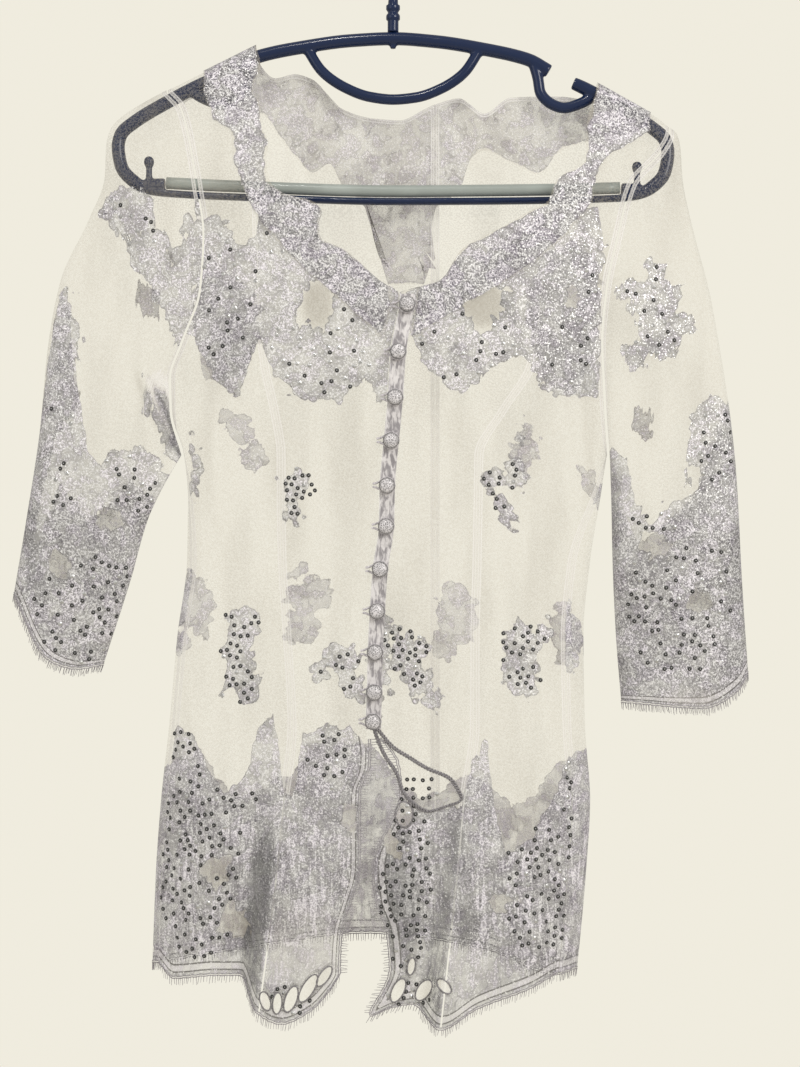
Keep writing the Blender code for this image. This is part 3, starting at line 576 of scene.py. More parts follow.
LACE_BANDS = {  # photo pixels: x, the lace's top line, its bottom line
    "front": [
        [(150, 240, 262), (170, 212, 300), (195, 206, 345), (215, 225, 385), (240, 245, 392), (256, 235, 350),
         (262, 190, 345), (275, 185, 380), (305, 190, 400), (340, 230, 402), (365, 250, 385), (380, 270, 398),
         (393, 280, 400), (405, 290, 320), (415, 285, 345), (435, 275, 380), (460, 255, 398), (490, 250, 372),
         (520, 235, 350), (540, 215, 385), (570, 205, 402), (598, 205, 398), (604, 250, 330)],
        [(150, 742, 1100), (160, 735, 1100), (178, 728, 1100), (195, 731, 1100), (207, 765, 1100), (225, 795, 1100),
         (245, 775, 1100), (258, 722, 1100), (274, 712, 1100), (284, 790, 1100), (292, 800, 1100), (302, 735, 1100),
         (320, 722, 1100), (345, 722, 1100), (357, 728, 1100), (365, 750, 1100), (380, 750, 1100),
         (395, 800, 1100), (412, 803, 1100), (448, 806, 1100), (462, 800, 1100), (472, 755, 1100), (487, 735, 1100),
         (492, 790, 1100), (505, 850, 1100), (525, 838, 1100), (545, 812, 1100), (560, 780, 1100), (572, 745, 1100),
         (592, 735, 1100)],
    ],
    "back": [
        [(150, 770, 1100), (200, 750, 1100), (240, 800, 1100), (290, 770, 1100), (330, 735, 1100), (372, 745, 1100),
         (420, 800, 1100), (470, 770, 1100), (520, 810, 1100), (560, 760, 1100), (600, 740, 1100)],
        [(188, 270, 300), (205, 255, 385), (240, 280, 380), (262, 300, 340)],
        [(525, 300, 330), (545, 250, 380), (575, 240, 400), (602, 270, 330)],
    ],
    "left": [
        [(10, 600, 900), (14, 555, 900), (25, 520, 900), (35, 455, 900), (45, 385, 900), (54, 320, 900),
         (62, 292, 900), (70, 305, 900), (77, 380, 900), (88, 450, 900), (100, 468, 900), (112, 450, 900),
         (135, 446, 900), (152, 452, 900), (170, 470, 900), (190, 495, 900)],
    ],
    "left behind": [
        [(10, 600, 900), (30, 560, 900), (60, 480, 900), (90, 520, 900), (130, 480, 900), (190, 520, 900)],
    ],
    "right": [
        [(604, 455, 900), (616, 448, 900), (627, 458, 900), (636, 505, 900), (652, 522, 900), (668, 505, 900),
         (682, 492, 900), (690, 430, 900), (699, 398, 900), (718, 394, 900), (738, 402, 900), (760, 430, 900)],
    ],
    "right behind": [
        [(600, 470, 900), (640, 540, 900), (690, 500, 900), (720, 440, 900), (760, 460, 900)],
    ],
}

LACE_SPOTS = {  # photo pixels: x, y, half width, half height, tilt in degrees, petals
    "front": [
        (205, 232, 26, 22, 0, 5), (222, 330, 26, 44, 8, 6), (182, 262, 22, 30, 20, 5),
        (243, 625, 18, 22, 30, 5), (236, 658, 15, 34, -8, 6), (250, 690, 12, 24, -14, 4),
        (296, 486, 17, 15, 20, 5), (290, 510, 11, 20, -10, 4), (306, 478, 10, 9, 0, 5),
        (515, 470, 13, 26, 18, 5), (495, 478, 14, 14, 0, 5), (503, 505, 9, 24, 12, 4), (520, 440, 7, 12, 0, 4),
        (340, 660, 22, 17, 0, 5), (352, 685, 16, 17, 20, 5), (322, 672, 12, 12, 0, 4),
        (408, 650, 20, 24, 0, 5), (420, 680, 17, 20, 20, 5), (430, 700, 14, 10, 0, 4), (396, 632, 10, 12, 0, 4),
        (518, 635, 18, 18, 10, 5), (522, 668, 24, 28, 0, 6), (538, 640, 11, 22, -20, 4),
        (180, 738, 18, 10, 0, 4), (228, 812, 22, 12, -30, 4), (193, 468, 6, 28, 0, 4), (378, 660, 12, 50, 0, 5),
        (385, 640, 10, 30, 0, 4),
    ],
    "back": [
        (192, 605, 24, 36, 8, 5), (180, 640, 15, 14, 0, 4), (312, 598, 26, 22, 0, 5), (302, 625, 22, 22, 10, 5),
        (456, 615, 24, 32, 0, 6), (448, 645, 20, 18, 0, 4), (565, 640, 18, 34, 0, 5),
        (240, 430, 16, 22, 20, 5), (252, 455, 17, 18, 0, 4), (526, 450, 16, 26, -15, 5), (592, 487, 11, 24, 15, 4),
        (228, 415, 10, 8, 0, 4), (300, 570, 12, 9, 0, 4),
    ],
    "left": [
        (128, 212, 28, 30, 20, 5), (150, 252, 24, 30, 20, 6), (118, 200, 16, 16, 0, 4), (176, 292, 26, 34, 10, 6),
        (190, 262, 20, 40, 0, 5), (196, 235, 14, 30, 0, 4), (186, 330, 14, 22, 0, 4), (166, 415, 17, 46, 24, 5),
        (180, 448, 16, 22, 20, 5),
        (70, 345, 10, 40, 0, 5),
    ],
    "left behind": [(150, 300, 14, 22, 0, 4), (60, 380, 16, 50, 4, 5)],
    "right": [
        (652, 300, 30, 26, 0, 6), (660, 330, 28, 30, 10, 5), (640, 352, 20, 17, 0, 5), (634, 290, 20, 14, 0, 4),
        (680, 325, 14, 14, 0, 4), (655, 275, 15, 15, 0, 4), (714, 432, 26, 32, 0, 6), (722, 470, 20, 24, 0, 5),
        (678, 505, 12, 9, 0, 4), (618, 480, 12, 30, 0, 4),
    ],
    "right behind": [(640, 420, 12, 18, 0, 4)],
}

PLAIN_SPOTS = {  # photo pixels: net left plain inside the lace, x, y, half width, half height
    "front": [(318, 306, 14, 22), (485, 305, 21, 20), (348, 820, 7, 12), (392, 845, 8, 14),
              (215, 870, 12, 12), (236, 920, 14, 12), (480, 250, 6, 6), (572, 300, 8, 8), (500, 900, 10, 8)],
    "left": [(110, 520, 10, 8), (60, 560, 8, 10)],
    "right": [(655, 545, 14, 10), (690, 470, 8, 14), (700, 600, 8, 8)],
}


PETALS = [  # photo pixels: the front's petals with plain net in them, x, y, half width, half height, tilt in degrees
    (265, 1001, 5, 10, 15), (277, 1003, 5, 11, -5), (291, 999, 6, 14, -20), (308, 988, 6, 16, -30),
    (324, 976, 5, 12, -35), (398, 990, 6, 13, -25), (424, 990, 7, 12, -35), (411, 966, 4, 9, -10),
    (404, 814, 9, 13, 0), (424, 786, 14, 10, 20), (398, 752, 6, 9, 40), (444, 986, 5, 9, 40),
]

PAINTED_SHADING_SPOTS = {  # photo pixels: x, y, half width, half height, tilt, how much shade is painted on, and below 0 how much highlight is painted on
    "front": [(318, 306, 17, 25, 0, 0.8), (485, 305, 24, 24, 0, 0.85), (258, 905, 13, 90, -6, 0.85),
              (402, 900, 18, 80, 0, 0.75), (228, 355, 24, 34, 0, 0.40), (207, 296, 14, 22, 0, 0.35),
              (575, 345, 20, 54, 0, 0.35), (522, 242, 14, 26, -30, 0.45), (590, 410, 9, 56, 0, 0.4),
              (455, 430, 9, 30, 0, 0.3), (216, 872, 17, 16, 0, 0.55), (238, 922, 16, 14, 0, 0.5),
              (395, 300, 24, 26, 0, 0.3), (460, 300, 20, 14, 0, 0.25), (500, 930, 30, 40, 0, 0.25),
              (462, 880, 10, 100, 4, 0.5), (300, 940, 40, 40, 0, -0.25), (280, 450, 8, 60, 0, 0.2),
              (590, 520, 8, 60, 0, 0.3), (195, 500, 9, 80, 0, 0.2), (480, 960, 30, 22, 0, -0.25)],
    "back": [(405, 640, 40, 60, 0, 0.15)],
    "left": [(158, 380, 11, 10, 0, -1.0), (160, 410, 2.5, 40, 24, -1.0), (173, 405, 2.5, 38, 20, -0.9),
             (167, 420, 5, 38, 22, 0.9), (180, 442, 9, 14, 20, 0.9), (146, 400, 5, 34, 20, 0.5),
             (32, 540, 12, 80, 6, 0.5), (105, 560, 30, 14, 0, 0.3), (118, 640, 20, 20, 0, -0.2)],
    "right": [(613, 520, 9, 60, 0, 0.6), (738, 620, 15, 110, 0, 0.5), (640, 660, 24, 50, 0, 0.3),
              (655, 330, 12, 30, 0, 0.4), (650, 560, 18, 20, 0, 0.3), (690, 700, 30, 14, 0, -0.3)],
}


def view_x(pixel):
    return (pixel - PHOTO_MIDDLE) * PIXEL


def view_z(pixel):
    return PHOTO_TOP - PIXEL * pixel


def spot_shares(x, z, px, pz, wide, high, tilt):
    """How far across and up a tilted oval a point lies, 1 at its edge."""
    turn = math.radians(tilt)
    dx, dz = x - view_x(px), z - view_z(pz)
    return ((dx * math.cos(turn) + dz * math.sin(turn)) / (wide * PIXEL),
            (dz * math.cos(turn) - dx * math.sin(turn)) / (high * PIXEL))


def petal_spot(row, x, z):
    """Millimetres inside a flower's edge, whose petals bulge round it."""
    px, pz, wide, high, tilt, petals = row
    u, v = spot_shares(x, z, px, pz, wide, high, tilt)
    angle = np.arctan2(v, u)
    edge = 0.86 + 0.16 * np.abs(np.cos(angle * petals / 2 + px)) + 0.05 * np.cos(angle * (2 * petals + 3) + pz)
    return (edge - np.hypot(u, v)) * min(wide, high) * PIXEL


def painted_shading_at(layer, x, z):
    """How much shade is painted on the cloth here, and below 0 how much highlight is painted on."""
    total = np.zeros_like(x)
    for *spot, amount in PAINTED_SHADING_SPOTS.get(layer, []):
        total = total + amount * ease(1.5 - np.hypot(*spot_shares(x, z, *spot)))
    return np.clip(total, -1.0, 1.0)


def petals_out(lace, x, z):
    """Takes the plain petals out of the lace, with smooth edges."""
    for row in PETALS:
        lace = np.minimum(lace, -petal_spot(row + (0,), x, z))
    return lace


def lace_depth(layer, x, z):
    """Millimetres inside the lace's edge, negative on the plain net."""
    best = np.full_like(x, -FAR)
    for band in LACE_BANDS.get(layer, []):
        xs = [view_x(row[0]) for row in band]
        top = np.interp(x, xs, [view_z(row[1]) for row in band])
        low = np.interp(x, xs, [view_z(row[2]) for row in band])
        inside = np.minimum(top - z, z - low)
        inside = np.minimum(inside, np.minimum(x - xs[0], xs[-1] - x) if layer in ("front", "back") else FAR)
        best = np.maximum(best, inside)
    for row in LACE_SPOTS.get(layer, []):
        best = np.maximum(best, petal_spot(row, x, z))
    for row in PLAIN_SPOTS.get(layer, []):
        best = np.minimum(best, -petal_spot(row + (0, 5), x, z))
    return np.clip(best, -30.0, 30.0)


def waves(points, size, seed):
    """Soft uneven waves about size millimetres long, from -1 to 1."""
    draw = np.random.default_rng(seed)
    total = 0.0
    for turn in range(7):
        way = draw.normal(size=3)
        way *= 2 * math.pi / (size * draw.uniform(0.7, 1.6) * np.linalg.norm(way))
        total = total + np.sin(points @ way + draw.uniform(0, 6.28))
    return total / 4.0


CELL_WAYS = ((127.1, 311.7, 74.7), (269.5, 183.3, 246.1), (113.5, 271.9, 124.6), (41.3, 289.1, 17.7))


def petal_cells(points, size):
    """How far each point is from its petal's centre, in petal sizes, and that petal's own tone from 0 to 1."""
    points = points / size
    base = np.floor(points)
    best = np.full(len(points), 9.0)
    tone = np.zeros(len(points))
    for step in np.ndindex(3, 3, 3):
        cell = base + np.array(step) - 1
        jitter = []
        for way in CELL_WAYS:
            jitter.append(np.modf(np.abs(np.sin(cell @ np.array(way)) * 43758.5453))[0])
        far = np.linalg.norm(points - cell - np.stack(jitter[:3], axis=-1), axis=-1)
        nearer = far < best
        best = np.where(nearer, far, best)
        tone = np.where(nearer, jitter[3], tone)
    return best, tone


def ruffled(points, lace, reach=RUFFLE):
    """The lace's edge broken into small round lobes, with each petal's tone."""
    bent = points + 1.4 * np.stack([waves(points, 9.0, seed) for seed in (1, 2, 3)], axis=-1)
    lobes, unused = petal_cells(bent, LOBE)
    bent = points + 3.0 * np.stack([waves(points, 16.0, seed) for seed in (4, 5, 6)], axis=-1)
    centre, tone = petal_cells(bent, PETAL)
    edge = lace + (0.42 - lobes) * reach + waves(points, 24.0, 7) * reach * 0.3
    return edge, 0.75 * tone + 0.25 * (waves(points, 40.0, 8) + 1) / 2 - 0.25 * (centre - 0.45)


def linked(name, data):
    """A new object in the scene."""
    item = bpy.data.objects.new(name, data)
    bpy.context.scene.collection.objects.link(item)
    return item


def finished(mesh, name, materials, points=None, smooth=True):
    """Writes a bmesh to a new object at the origin, its corners at points in millimetres where these are given."""
    data = bpy.data.meshes.new(name)
    mesh.to_mesh(data)
    mesh.free()
    if points is not None:
        data.vertices.foreach_set("co", (np.asarray(points) * MM).reshape(-1))
    for material in materials:
        data.materials.append(material)
    if smooth:
        data.shade_smooth()
    item = linked(name, data)
    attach(item, "root")
    return item


def mark(item, **marks):
    for name, values in marks.items():
        layer = item.data.attributes.new(name, "FLOAT", "POINT")
        layer.data.foreach_set("value", np.asarray(values, float).reshape(-1))


laid = {}  # for each layer of lace: what its cloth pieces show, for the sequins to find their places


def woven(name, columns, rows, place, material):
    """A grid of columns and rows, laid where place puts its shares across and down."""
    mesh = bmesh.new()
    bmesh.ops.create_grid(mesh, x_segments=columns, y_segments=rows, size=1.0)
    flat = np.array([vert.co[:2] for vert in mesh.verts])
    points, marks = place((flat[:, 0] + 1) / 2, (1 - flat[:, 1]) / 2)
    view = marks.pop("view")
    item = finished(mesh, name, [material], points)
    mark(item, **marks)
    normals = np.array([vert.normal[:] for vert in item.data.vertices])
    layer = name.split("_")[1] if name.startswith("sleeve") else name.split("_")[0]
    laid.setdefault(layer, []).append((view, np.asarray(points), normals, marks["lace"]))
    return item


# ---------------------------------------------------------------- materials

class Value:
    """A number socket of a material, for plain sums."""

    def __init__(self, look, socket):
        self.look, self.socket = look, socket

    def sum(self, operation, first, second=0.0):
        return self.look.node("ShaderNodeMath", {"operation": operation}, {0: first, 1: second})

    def __add__(self, other):
        return self.sum("ADD", self, other)

    def __mul__(self, other):
        return self.sum("MULTIPLY", self, other)

    def __sub__(self, other):
        return self.sum("SUBTRACT", self, other)

    def __rsub__(self, other):
        return self.sum("SUBTRACT", other, self)

    def __abs__(self):
        return self.sum("ABSOLUTE", self)

    __radd__ = __add__
    __rmul__ = __mul__

    def between(self, low, high):
        """0 at low to 1 at high, smoothly; low may be the larger."""
        return self.look.node("ShaderNodeMapRange", {"interpolation_type": "SMOOTHSTEP"},
                              {"Value": self, "From Min": low, "From Max": high})

    def least(self, other):
        return self.sum("MINIMUM", self, other)

    def most(self, other):
        return self.sum("MAXIMUM", self, other)


class Look:
    """A material built from nodes."""

    def __init__(self, name):
        self.material = bpy.data.materials.new(name)
        self.material.use_nodes = True
        self.tree = self.material.node_tree
        self.shader = self.tree.nodes["Principled BSDF"]
        self.spot = self.node("ShaderNodeTexCoord", {}, {}, "Object")

    def node(self, kind, settings, sockets, output=0):
        made = self.tree.nodes.new(kind)
        for key, value in settings.items():
            setattr(made, key, value)
        for key, value in sockets.items():
            if isinstance(value, Value):
                self.tree.links.new(value.socket, made.inputs[key])
            else:
                made.inputs[key].default_value = value
        return Value(self, made.outputs[output])

    def attribute(self, name):
        return self.node("ShaderNodeAttribute", {"attribute_name": name}, {}, "Fac")

    def noise(self, size, detail=2.0, warp=0.0, spot=None):
        """Soft noise from 0 to 1, its waves about size millimetres long."""
        return self.node("ShaderNodeTexNoise", {}, {"Vector": spot or self.spot, "Scale": 1000.0 / size,
                                                    "Detail": detail, "Distortion": warp})

    def cells(self, size, feature="F1", output="Distance", spot=None):
        return self.node("ShaderNodeTexVoronoi", {"feature": feature},
                         {"Vector": spot or self.spot, "Scale": 1000.0 / size}, output)

    def warped(self, size, amount, spot=None):
        """The place on the cloth, pushed about by noise, in metres."""
        spot = spot or self.spot
        push = self.node("ShaderNodeTexNoise", {}, {"Vector": spot, "Scale": 1000.0 / size, "Detail": 1.0}, "Color")
        push = self.node("ShaderNodeVectorMath", {"operation": "SUBTRACT"}, {0: push, 1: (0.5, 0.5, 0.5)})
        push = self.node("ShaderNodeVectorMath", {"operation": "SCALE"}, {0: push, "Scale": amount * MM})
        return self.node("ShaderNodeVectorMath", {"operation": "ADD"}, {0: spot, 1: push})

    def stretched(self, x, y, z):
        return self.node("ShaderNodeMapping", {}, {"Vector": self.spot, "Scale": (x, y, z)})

    def blend(self, share, first, second):
        return self.node("ShaderNodeMix", {"data_type": "RGBA"}, {0: share, 6: first, 7: second}, 2)

    def bump(self, height, distance, strength=1.0):
        return self.node("ShaderNodeBump", {}, {"Height": height, "Distance": distance * MM, "Strength": strength})

    def finish(self, **sockets):
        names = {"colour": "Base Color", "rough": "Roughness", "metal": "Metallic", "alpha": "Alpha",
                 "normal": "Normal", "coat": "Coat Weight", "coat_rough": "Coat Roughness", "sheen": "Sheen Weight",
                 "sheen_rough": "Sheen Roughness", "specular": "Specular IOR Level"}
        for key, value in sockets.items():
            socket = self.shader.inputs[names[key]]
            if isinstance(value, Value):
                self.tree.links.new(value.socket, socket)
            else:
                socket.default_value = value
        return self.material


def grey(level, lilac=0.0):
    return (level * (1 + 0.02 * lilac), level * (1 - 0.03 * lilac), level * (1 + 0.03 * lilac), 1.0)


def lace_cloth(name, dark, pale, solid, outline, clump):
    """Tulle with corded flower lace woven on it where the attribute lace is above 0."""
    look = Look(name)
    low = look.node("ShaderNodeSeparateXYZ", {}, {0: look.spot}, "Z").between(-0.60, -0.70)
    lace_edge = look.attribute("lace")
    tone = look.attribute("tone")
    # painted shade on the folds' slopes, from the panels
    steep = look.attribute("steep")
    seam = look.attribute("seam")
    hem = look.attribute("hem")
    # painted shade in spots above 0, painted highlights below 0
    dusk = look.attribute("dusk")
    painted_shade, painted_highlight = dusk.between(0.0, 1.0), dusk.between(0.0, -1.0)
    fine = look.noise(1.25, 1.0)
    petal = look.noise(10.0, 0.6, 0.7)
    patch = petal.between(0.40, 0.60)
    swirl = abs(petal - 0.5).between(0.024, 0.010)
    # painted shade of soft vertical folds, as stretched noise
    fold = look.noise(24.0, 1.0, 0.0, look.stretched(1.0, 1.0, 0.2)).between(0.42, 0.70)
    inside = lace_edge + (fine - 0.5) * 1.9
    lace = inside.between(-0.3, 0.3)
    curls = abs(look.noise(3.6, 1.0, 1.6) - 0.5).between(0.075, 0.035)
    long = look.noise(3.0, 1.0, 0.6, look.node("ShaderNodeMapping", {}, {
        "Vector": look.spot, "Rotation": (0.0, 0.28, 0.0), "Scale": (1.0, 1.0, 0.15)})).between(0.50, 0.58)
    thread = (curls * (1 - low * 0.45) + long * low * 0.7).least(1.0)
    speck = fine.between(0.40, 0.60)
    rib = (hem.between(2.0, 2.5) * hem.between(3.8, 3.3)).most(hem.between(7.4, 7.9) * hem.between(9.3, 8.8))
    band = hem.between(3.3, 3.8) * hem.between(7.9, 7.4) * lace
    cord = (lace_edge.between(0.0, 0.4) * lace_edge.between(1.7, 1.2) * (0.35 + 0.65 * speck)).most(rib * lace)
    sewn = seam.between(3.6, 3.0)
    stitched = seam.between(0.4, 0.8) * seam.between(1.5, 1.1)
    stitched = stitched.most(seam.between(2.1, 2.5) * seam.between(3.5, 3.1))
    # the net's cover: painted slope shade, painted fold shade and painted shade spots thicken it; seams and painted
    # highlights make it denser
    net = 0.035 + speck * 0.14 + fold * 0.10 + steep * 0.3 + painted_shade * 0.42
    net = net.most(sewn * (0.30 + 0.3 * speck)).most(stitched * 0.6).most(painted_highlight * (0.5 + 0.4 * speck))
    # painted shade spots also thicken the lace
    dense = solid + 0.36 * thread + 0.16 * speck + 0.30 * (tone - 0.4) + clump * (patch - 0.5) + 0.3 * painted_shade
    dense = dense.least(0.97).most(cord * 0.9)
    cover = look.node("ShaderNodeMix", {"data_type": "FLOAT"}, {0: lace, 2: net, 3: dense})
    shade = look.blend((thread * 0.62 + speck * 0.46).least(1.0), (dark * 1.02, dark * 0.97, dark * 1.16, 1.0),
                       (pale * 0.985, pale * 0.965, pale, 1.0))
    shade = look.blend(tone.between(0.40, 0.80) * 0.35, shade, grey(dark * 1.5, 2.0))
    shade = look.blend(swirl * 0.55, shade, grey(0.14))
    tint = look.blend(patch, (0.91, 0.92, 0.90, 1.0), (1.0, 0.98, 1.02, 1.0))
    shade = look.node("ShaderNodeMix", {"data_type": "RGBA", "blend_type": "MULTIPLY"},
                      {0: 1.0, 6: shade, 7: tint}, 2)
    shade = look.blend(cord * outline, shade, (0.13, 0.12, 0.115, 1.0))
    # painted shade: the lace darkens on the folds' slopes and in the painted shade spots
    shade = look.blend((steep * 0.7 + painted_shade * 0.45).least(0.65), shade, grey(0.12))
    # the hem band and the painted highlights lighten the lace
    shade = look.blend((band * 0.5).most(painted_highlight * 0.6), shade, grey(0.86, 0.6))
    glint = fine.between(0.63, 0.67)
    shade = look.blend(glint * lace * (1 - 0.6 * painted_shade), shade, grey(1.0))
    # painted shade: the plain net darkens with the painted fold shade and the painted shade spots
    plain = look.blend((fold * 0.5 + painted_shade).least(1.0), (0.67, 0.62, 0.53, 1.0), (0.37, 0.335, 0.28, 1.0))
    # seams and painted highlights whiten the plain net, and painted highlights show it in place of the lace
    plain = look.blend(stitched.most(sewn * 0.6).most(painted_highlight), plain, (0.92, 0.90, 0.89, 1.0))
    return look.finish(colour=look.blend(lace * (1 - painted_highlight), plain, shade), alpha=cover.least(1.0),
                       rough=0.62 - 0.3 * (glint * lace), metal=glint * lace * 0.4, normal=look.bump(fine, 0.6, 0.5),
                       specular=0.25)


def satin(name):
    look = Look(name)
    across = look.attribute("across")
    lines = look.node("ShaderNodeMath", {"operation": "SINE"}, {0: across * 4.2})
    edge = across.between(1.2, 0.6).most(across.between(10.6, 11.4))
    wave = look.noise(9.0, 2.0)
    gather = look.noise(2.6, 2.0, 0.5, look.node("ShaderNodeMapping", {}, {
        "Vector": look.spot, "Scale": (1.0, 1.0, 0.35)}))
    colour = look.blend(gather.between(0.38, 0.62), (0.34, 0.32, 0.34, 1.0), (0.84, 0.81, 0.82, 1.0))
    colour = look.blend(edge * 0.5, colour, (0.88, 0.86, 0.87, 1.0))
    return look.finish(colour=colour, rough=0.34 + 0.16 * wave, sheen=0.35, sheen_rough=0.35,
                       normal=look.bump(lines * 0.15 + edge * 0.6 + wave * 0.5, 0.4, 0.6))


def cord_look(name, level, glow=0.3):
    look = Look(name)
    twist = look.cells(0.9, output="Distance", spot=look.stretched(1.0, 1.0, 0.6))
    colour = look.blend(twist, grey(level * 1.5, 1.0), grey(level * 0.6, 1.0))
    return look.finish(colour=colour, rough=0.5, metal=glow, normal=look.bump(twist, 0.3, 0.6))


def button_look(name):
    look = Look(name)
    scribble = look.cells(1.5, "DISTANCE_TO_EDGE", spot=look.warped(2.4, 1.6))
    thread = scribble.between(0.2, 0.06)
    tone = look.noise(6.0, 2.0)
    colour = look.blend(thread, grey(0.30, 0.6), grey(0.95, 0.6))
    colour = look.blend(tone.between(0.3, 0.7) * 0.3, colour, grey(0.50, 0.8))
    # painted shade: the button darkens towards its outline
    colour = look.blend(look.attribute("rim").between(0.72, 1.0) * 0.85, colour, grey(0.10, 0.8))
    return look.finish(colour=colour, rough=0.42, metal=thread * 0.2, sheen=0.2,
                       normal=look.bump(thread * 0.6 + tone, 0.6, 0.7))


def plastic(name, colour, rough, dust):
    look = Look(name)
    haze = look.noise(30.0, 4.0)
    scuffs = look.noise(3.0, 3.0, spot=look.stretched(0.15, 1.0, 1.0)).between(0.62, 0.74)
    paler = tuple(channel * 1.6 + 0.02 for channel in colour) + (1.0,)
    shade = look.blend(haze.between(0.4, 0.75) * dust + scuffs * dust * 0.5, colour + (1.0,), paler)
    return look.finish(colour=shade, rough=rough + 0.12 * haze + 0.1 * scuffs, coat=0.1, coat_rough=0.08,
                       normal=look.bump(haze + scuffs * 0.4, 0.15, 0.35), specular=0.4)


NET_LACE = lace_cloth("net_with_corded_lace", 0.11, 1.0, 0.45, 0.8, 0.14)
CUT_LACE = lace_cloth("cut_out_neck_lace", 0.17, 1.0, 0.62, 0.6, 0.10)
BACK_LACE_LOOK = lace_cloth("lace_from_its_wrong_side", 0.20, 1.0, 0.42, 0.3, 0.22)
SATIN = satin("placket_satin")
LOOP_SATIN = cord_look("loop_satin", 0.62, 0.0)
THREAD = cord_look("eyelash_thread", 0.40, 0.1)
CORD = cord_look("outline_cord", 0.26, 0.2)
BUTTON_LACE = button_look("button_cover")
NAVY = plastic("navy_hanger", (0.006, 0.017, 0.062), 0.14, 0.06)
GREY_BAR = plastic("grey_bar", (0.34, 0.375, 0.355), 0.30, 0.3)


# ---------------------------------------------------------------- cloth

def panel(name, cut, columns, rows, layer, material=NET_LACE, seams=(True, True)):
    shares = np.linspace(0.0, 1.0, columns + 1)
    levels, behind = cut.heights(shares, rows)
    last = len(levels) - 1

    def place(across, down):
        i = np.rint(across * columns).astype(int)
        j = np.rint(down * last).astype(int)
        z = levels[j, i]
        back = behind[j]
        points = cut.place(across, z, back)
        x = cut.view_x(across, z)
        grid = np.zeros((last + 1, columns + 1, 3))
        grid[j, i] = points
        steps = np.linalg.norm(np.diff(grid, axis=1), axis=2)
        along = np.concatenate((np.zeros((last + 1, 1)), np.cumsum(steps, axis=1)), axis=1)
        falls = np.linalg.norm(np.diff(grid, axis=0), axis=2)
        fall = np.concatenate((np.zeros((1, columns + 1)), np.cumsum(falls, axis=0)), axis=0)
        from_left, from_right = along[j, i], (along[:, -1:] - along)[j, i]
        from_top, from_low = fall[j, i], (fall[-1:] - fall)[j, i]
        seam = np.full_like(x, 30.0)
        for sewn, far in zip(seams, (from_left, from_right)):
            seam = np.minimum(seam, far) if sewn else seam
        if cut.over or layer == "back":
            seam = np.minimum(seam, from_top)
        if layer:
            lace, tone = ruffled(points, lace_depth(layer, x, z))
            lace = petals_out(lace, x, z) if layer == "front" else lace
        else:
            rim = np.minimum(np.minimum(from_left, from_right), np.minimum(from_low, from_top + 6.0))
            lace, tone = ruffled(points, rim - 0.6, 4.0)
            lace = np.where(from_top < 2.0, np.maximum(lace, 2.0), lace)
        side = np.where(layer == "back", 1.0, -1.0) * np.ones_like(x)
        cosine = np.sqrt(np.maximum(0.0, 1 - np.clip((x - middle(z)) / half(z), -1, 1) ** 2))
        rise = (hang_depth(side, x + 1.5, z, cosine) - hang_depth(side, x - 1.5, z, cosine)) / 3.0
        rise = np.where(side < 0, rise, 0.6 * rise) * ease((shoulder(x) - z) / 70.0)
        hem = from_low if layer else np.full_like(x, FAR)
        if cut in centre_cuts:
            hem = np.where(z < OPEN_Z - 6.0, np.minimum(hem, from_right), hem)
        # painted shade on the folds' slopes: full where the cloth turns one way across, 0.4 of it where it turns the
        # other way
        steep = np.clip(rise - 0.08, 0.0, 1.0) + 0.4 * np.clip(-rise - 0.15, 0.0, 1.0)
        return points, {"seam": seam, "across": from_left, "lace": lace, "tone": tone, "hem": hem, "steep": steep,
                        "dusk": painted_shading_at(layer, x, z), "view": np.stack((x, z), axis=-1)}

    return woven(name + "_cloth", columns, last, place, material)


def side_of(function, side, *rest):
    return lambda z: function(side, z, *rest)


side_cuts, centre_cuts, back_cuts, sleeves = [], [], [], []
cloth = {}
for side in (0, 1):
    sign = (1, -1)[side]
    word = NAMES[side]
    side_cuts.append(Cut(side_of(front_outer, side), side_of(princess, side, -sign), shoulder, HEM_FRONT,
                         -130.0, -790.0, over=True))
    centre_cuts.append(Cut(side_of(princess, side, sign), side_of(inner_edge, side), shoulder, HEM_FRONT,
                           -100.0, -790.0, over=True))
    back_cuts.append(Cut(side_of(back_outer, side), side_of(back_inner, side), back_line, HEM_BACK,
                         -130.0, -760.0))
    cloth["front_side_" + word] = panel("front_side_" + word, side_cuts[side], 36, 300, "front")
    cloth["front_centre_" + word] = panel("front_centre_" + word, centre_cuts[side], 60, 300, "front",
                                          seams=(True, False))
    cloth["back_" + word] = panel("back_" + word, back_cuts[side], 84, 280, "back", BACK_LACE_LOOK)

for side in (0, 1):
    word = NAMES[side]
    cut = Cut(side_of(lambda side, z: front_angle(NECK_OUT[side](z), z), side), side_of(lace_inner, side),
              shoulder, lambda x: np.full_like(x, NECK[-1][0] - 5.0), -100.0, -303.0, CLOTH + GAP, over=True)
    cloth["neck_lace_" + word] = panel("neck_lace_" + word, cut, 30, 110, None, CUT_LACE, (False, False))
cut = Cut(lambda z: back_angle(BACK_NECK[0][0], z), lambda z: back_angle(BACK_NECK[-1][0], z),
          back_line, BACK_LACE, -110.0, -180.0, CLOTH + GAP + 0.6)
cloth["neck_lace_back"] = panel("neck_lace_back", cut, 170, 44, None, BACK_LACE_LOOK, (False, False))
cut = Cut(lambda z: shifted(front_angle(centre_front(z), z), z, 0.5),
          lambda z: front_angle(BUTTON_LINE(z) + PLACKET / 2, z),
          lambda x: np.full_like(x, NECK_Z - 0.5), lambda x: np.full_like(x, OPEN_Z - 1.5), -272.0, -600.0,
          CLOTH + GAP)
cloth["placket"] = panel("placket", cut, 10, 160, None, SATIN, (False, False))


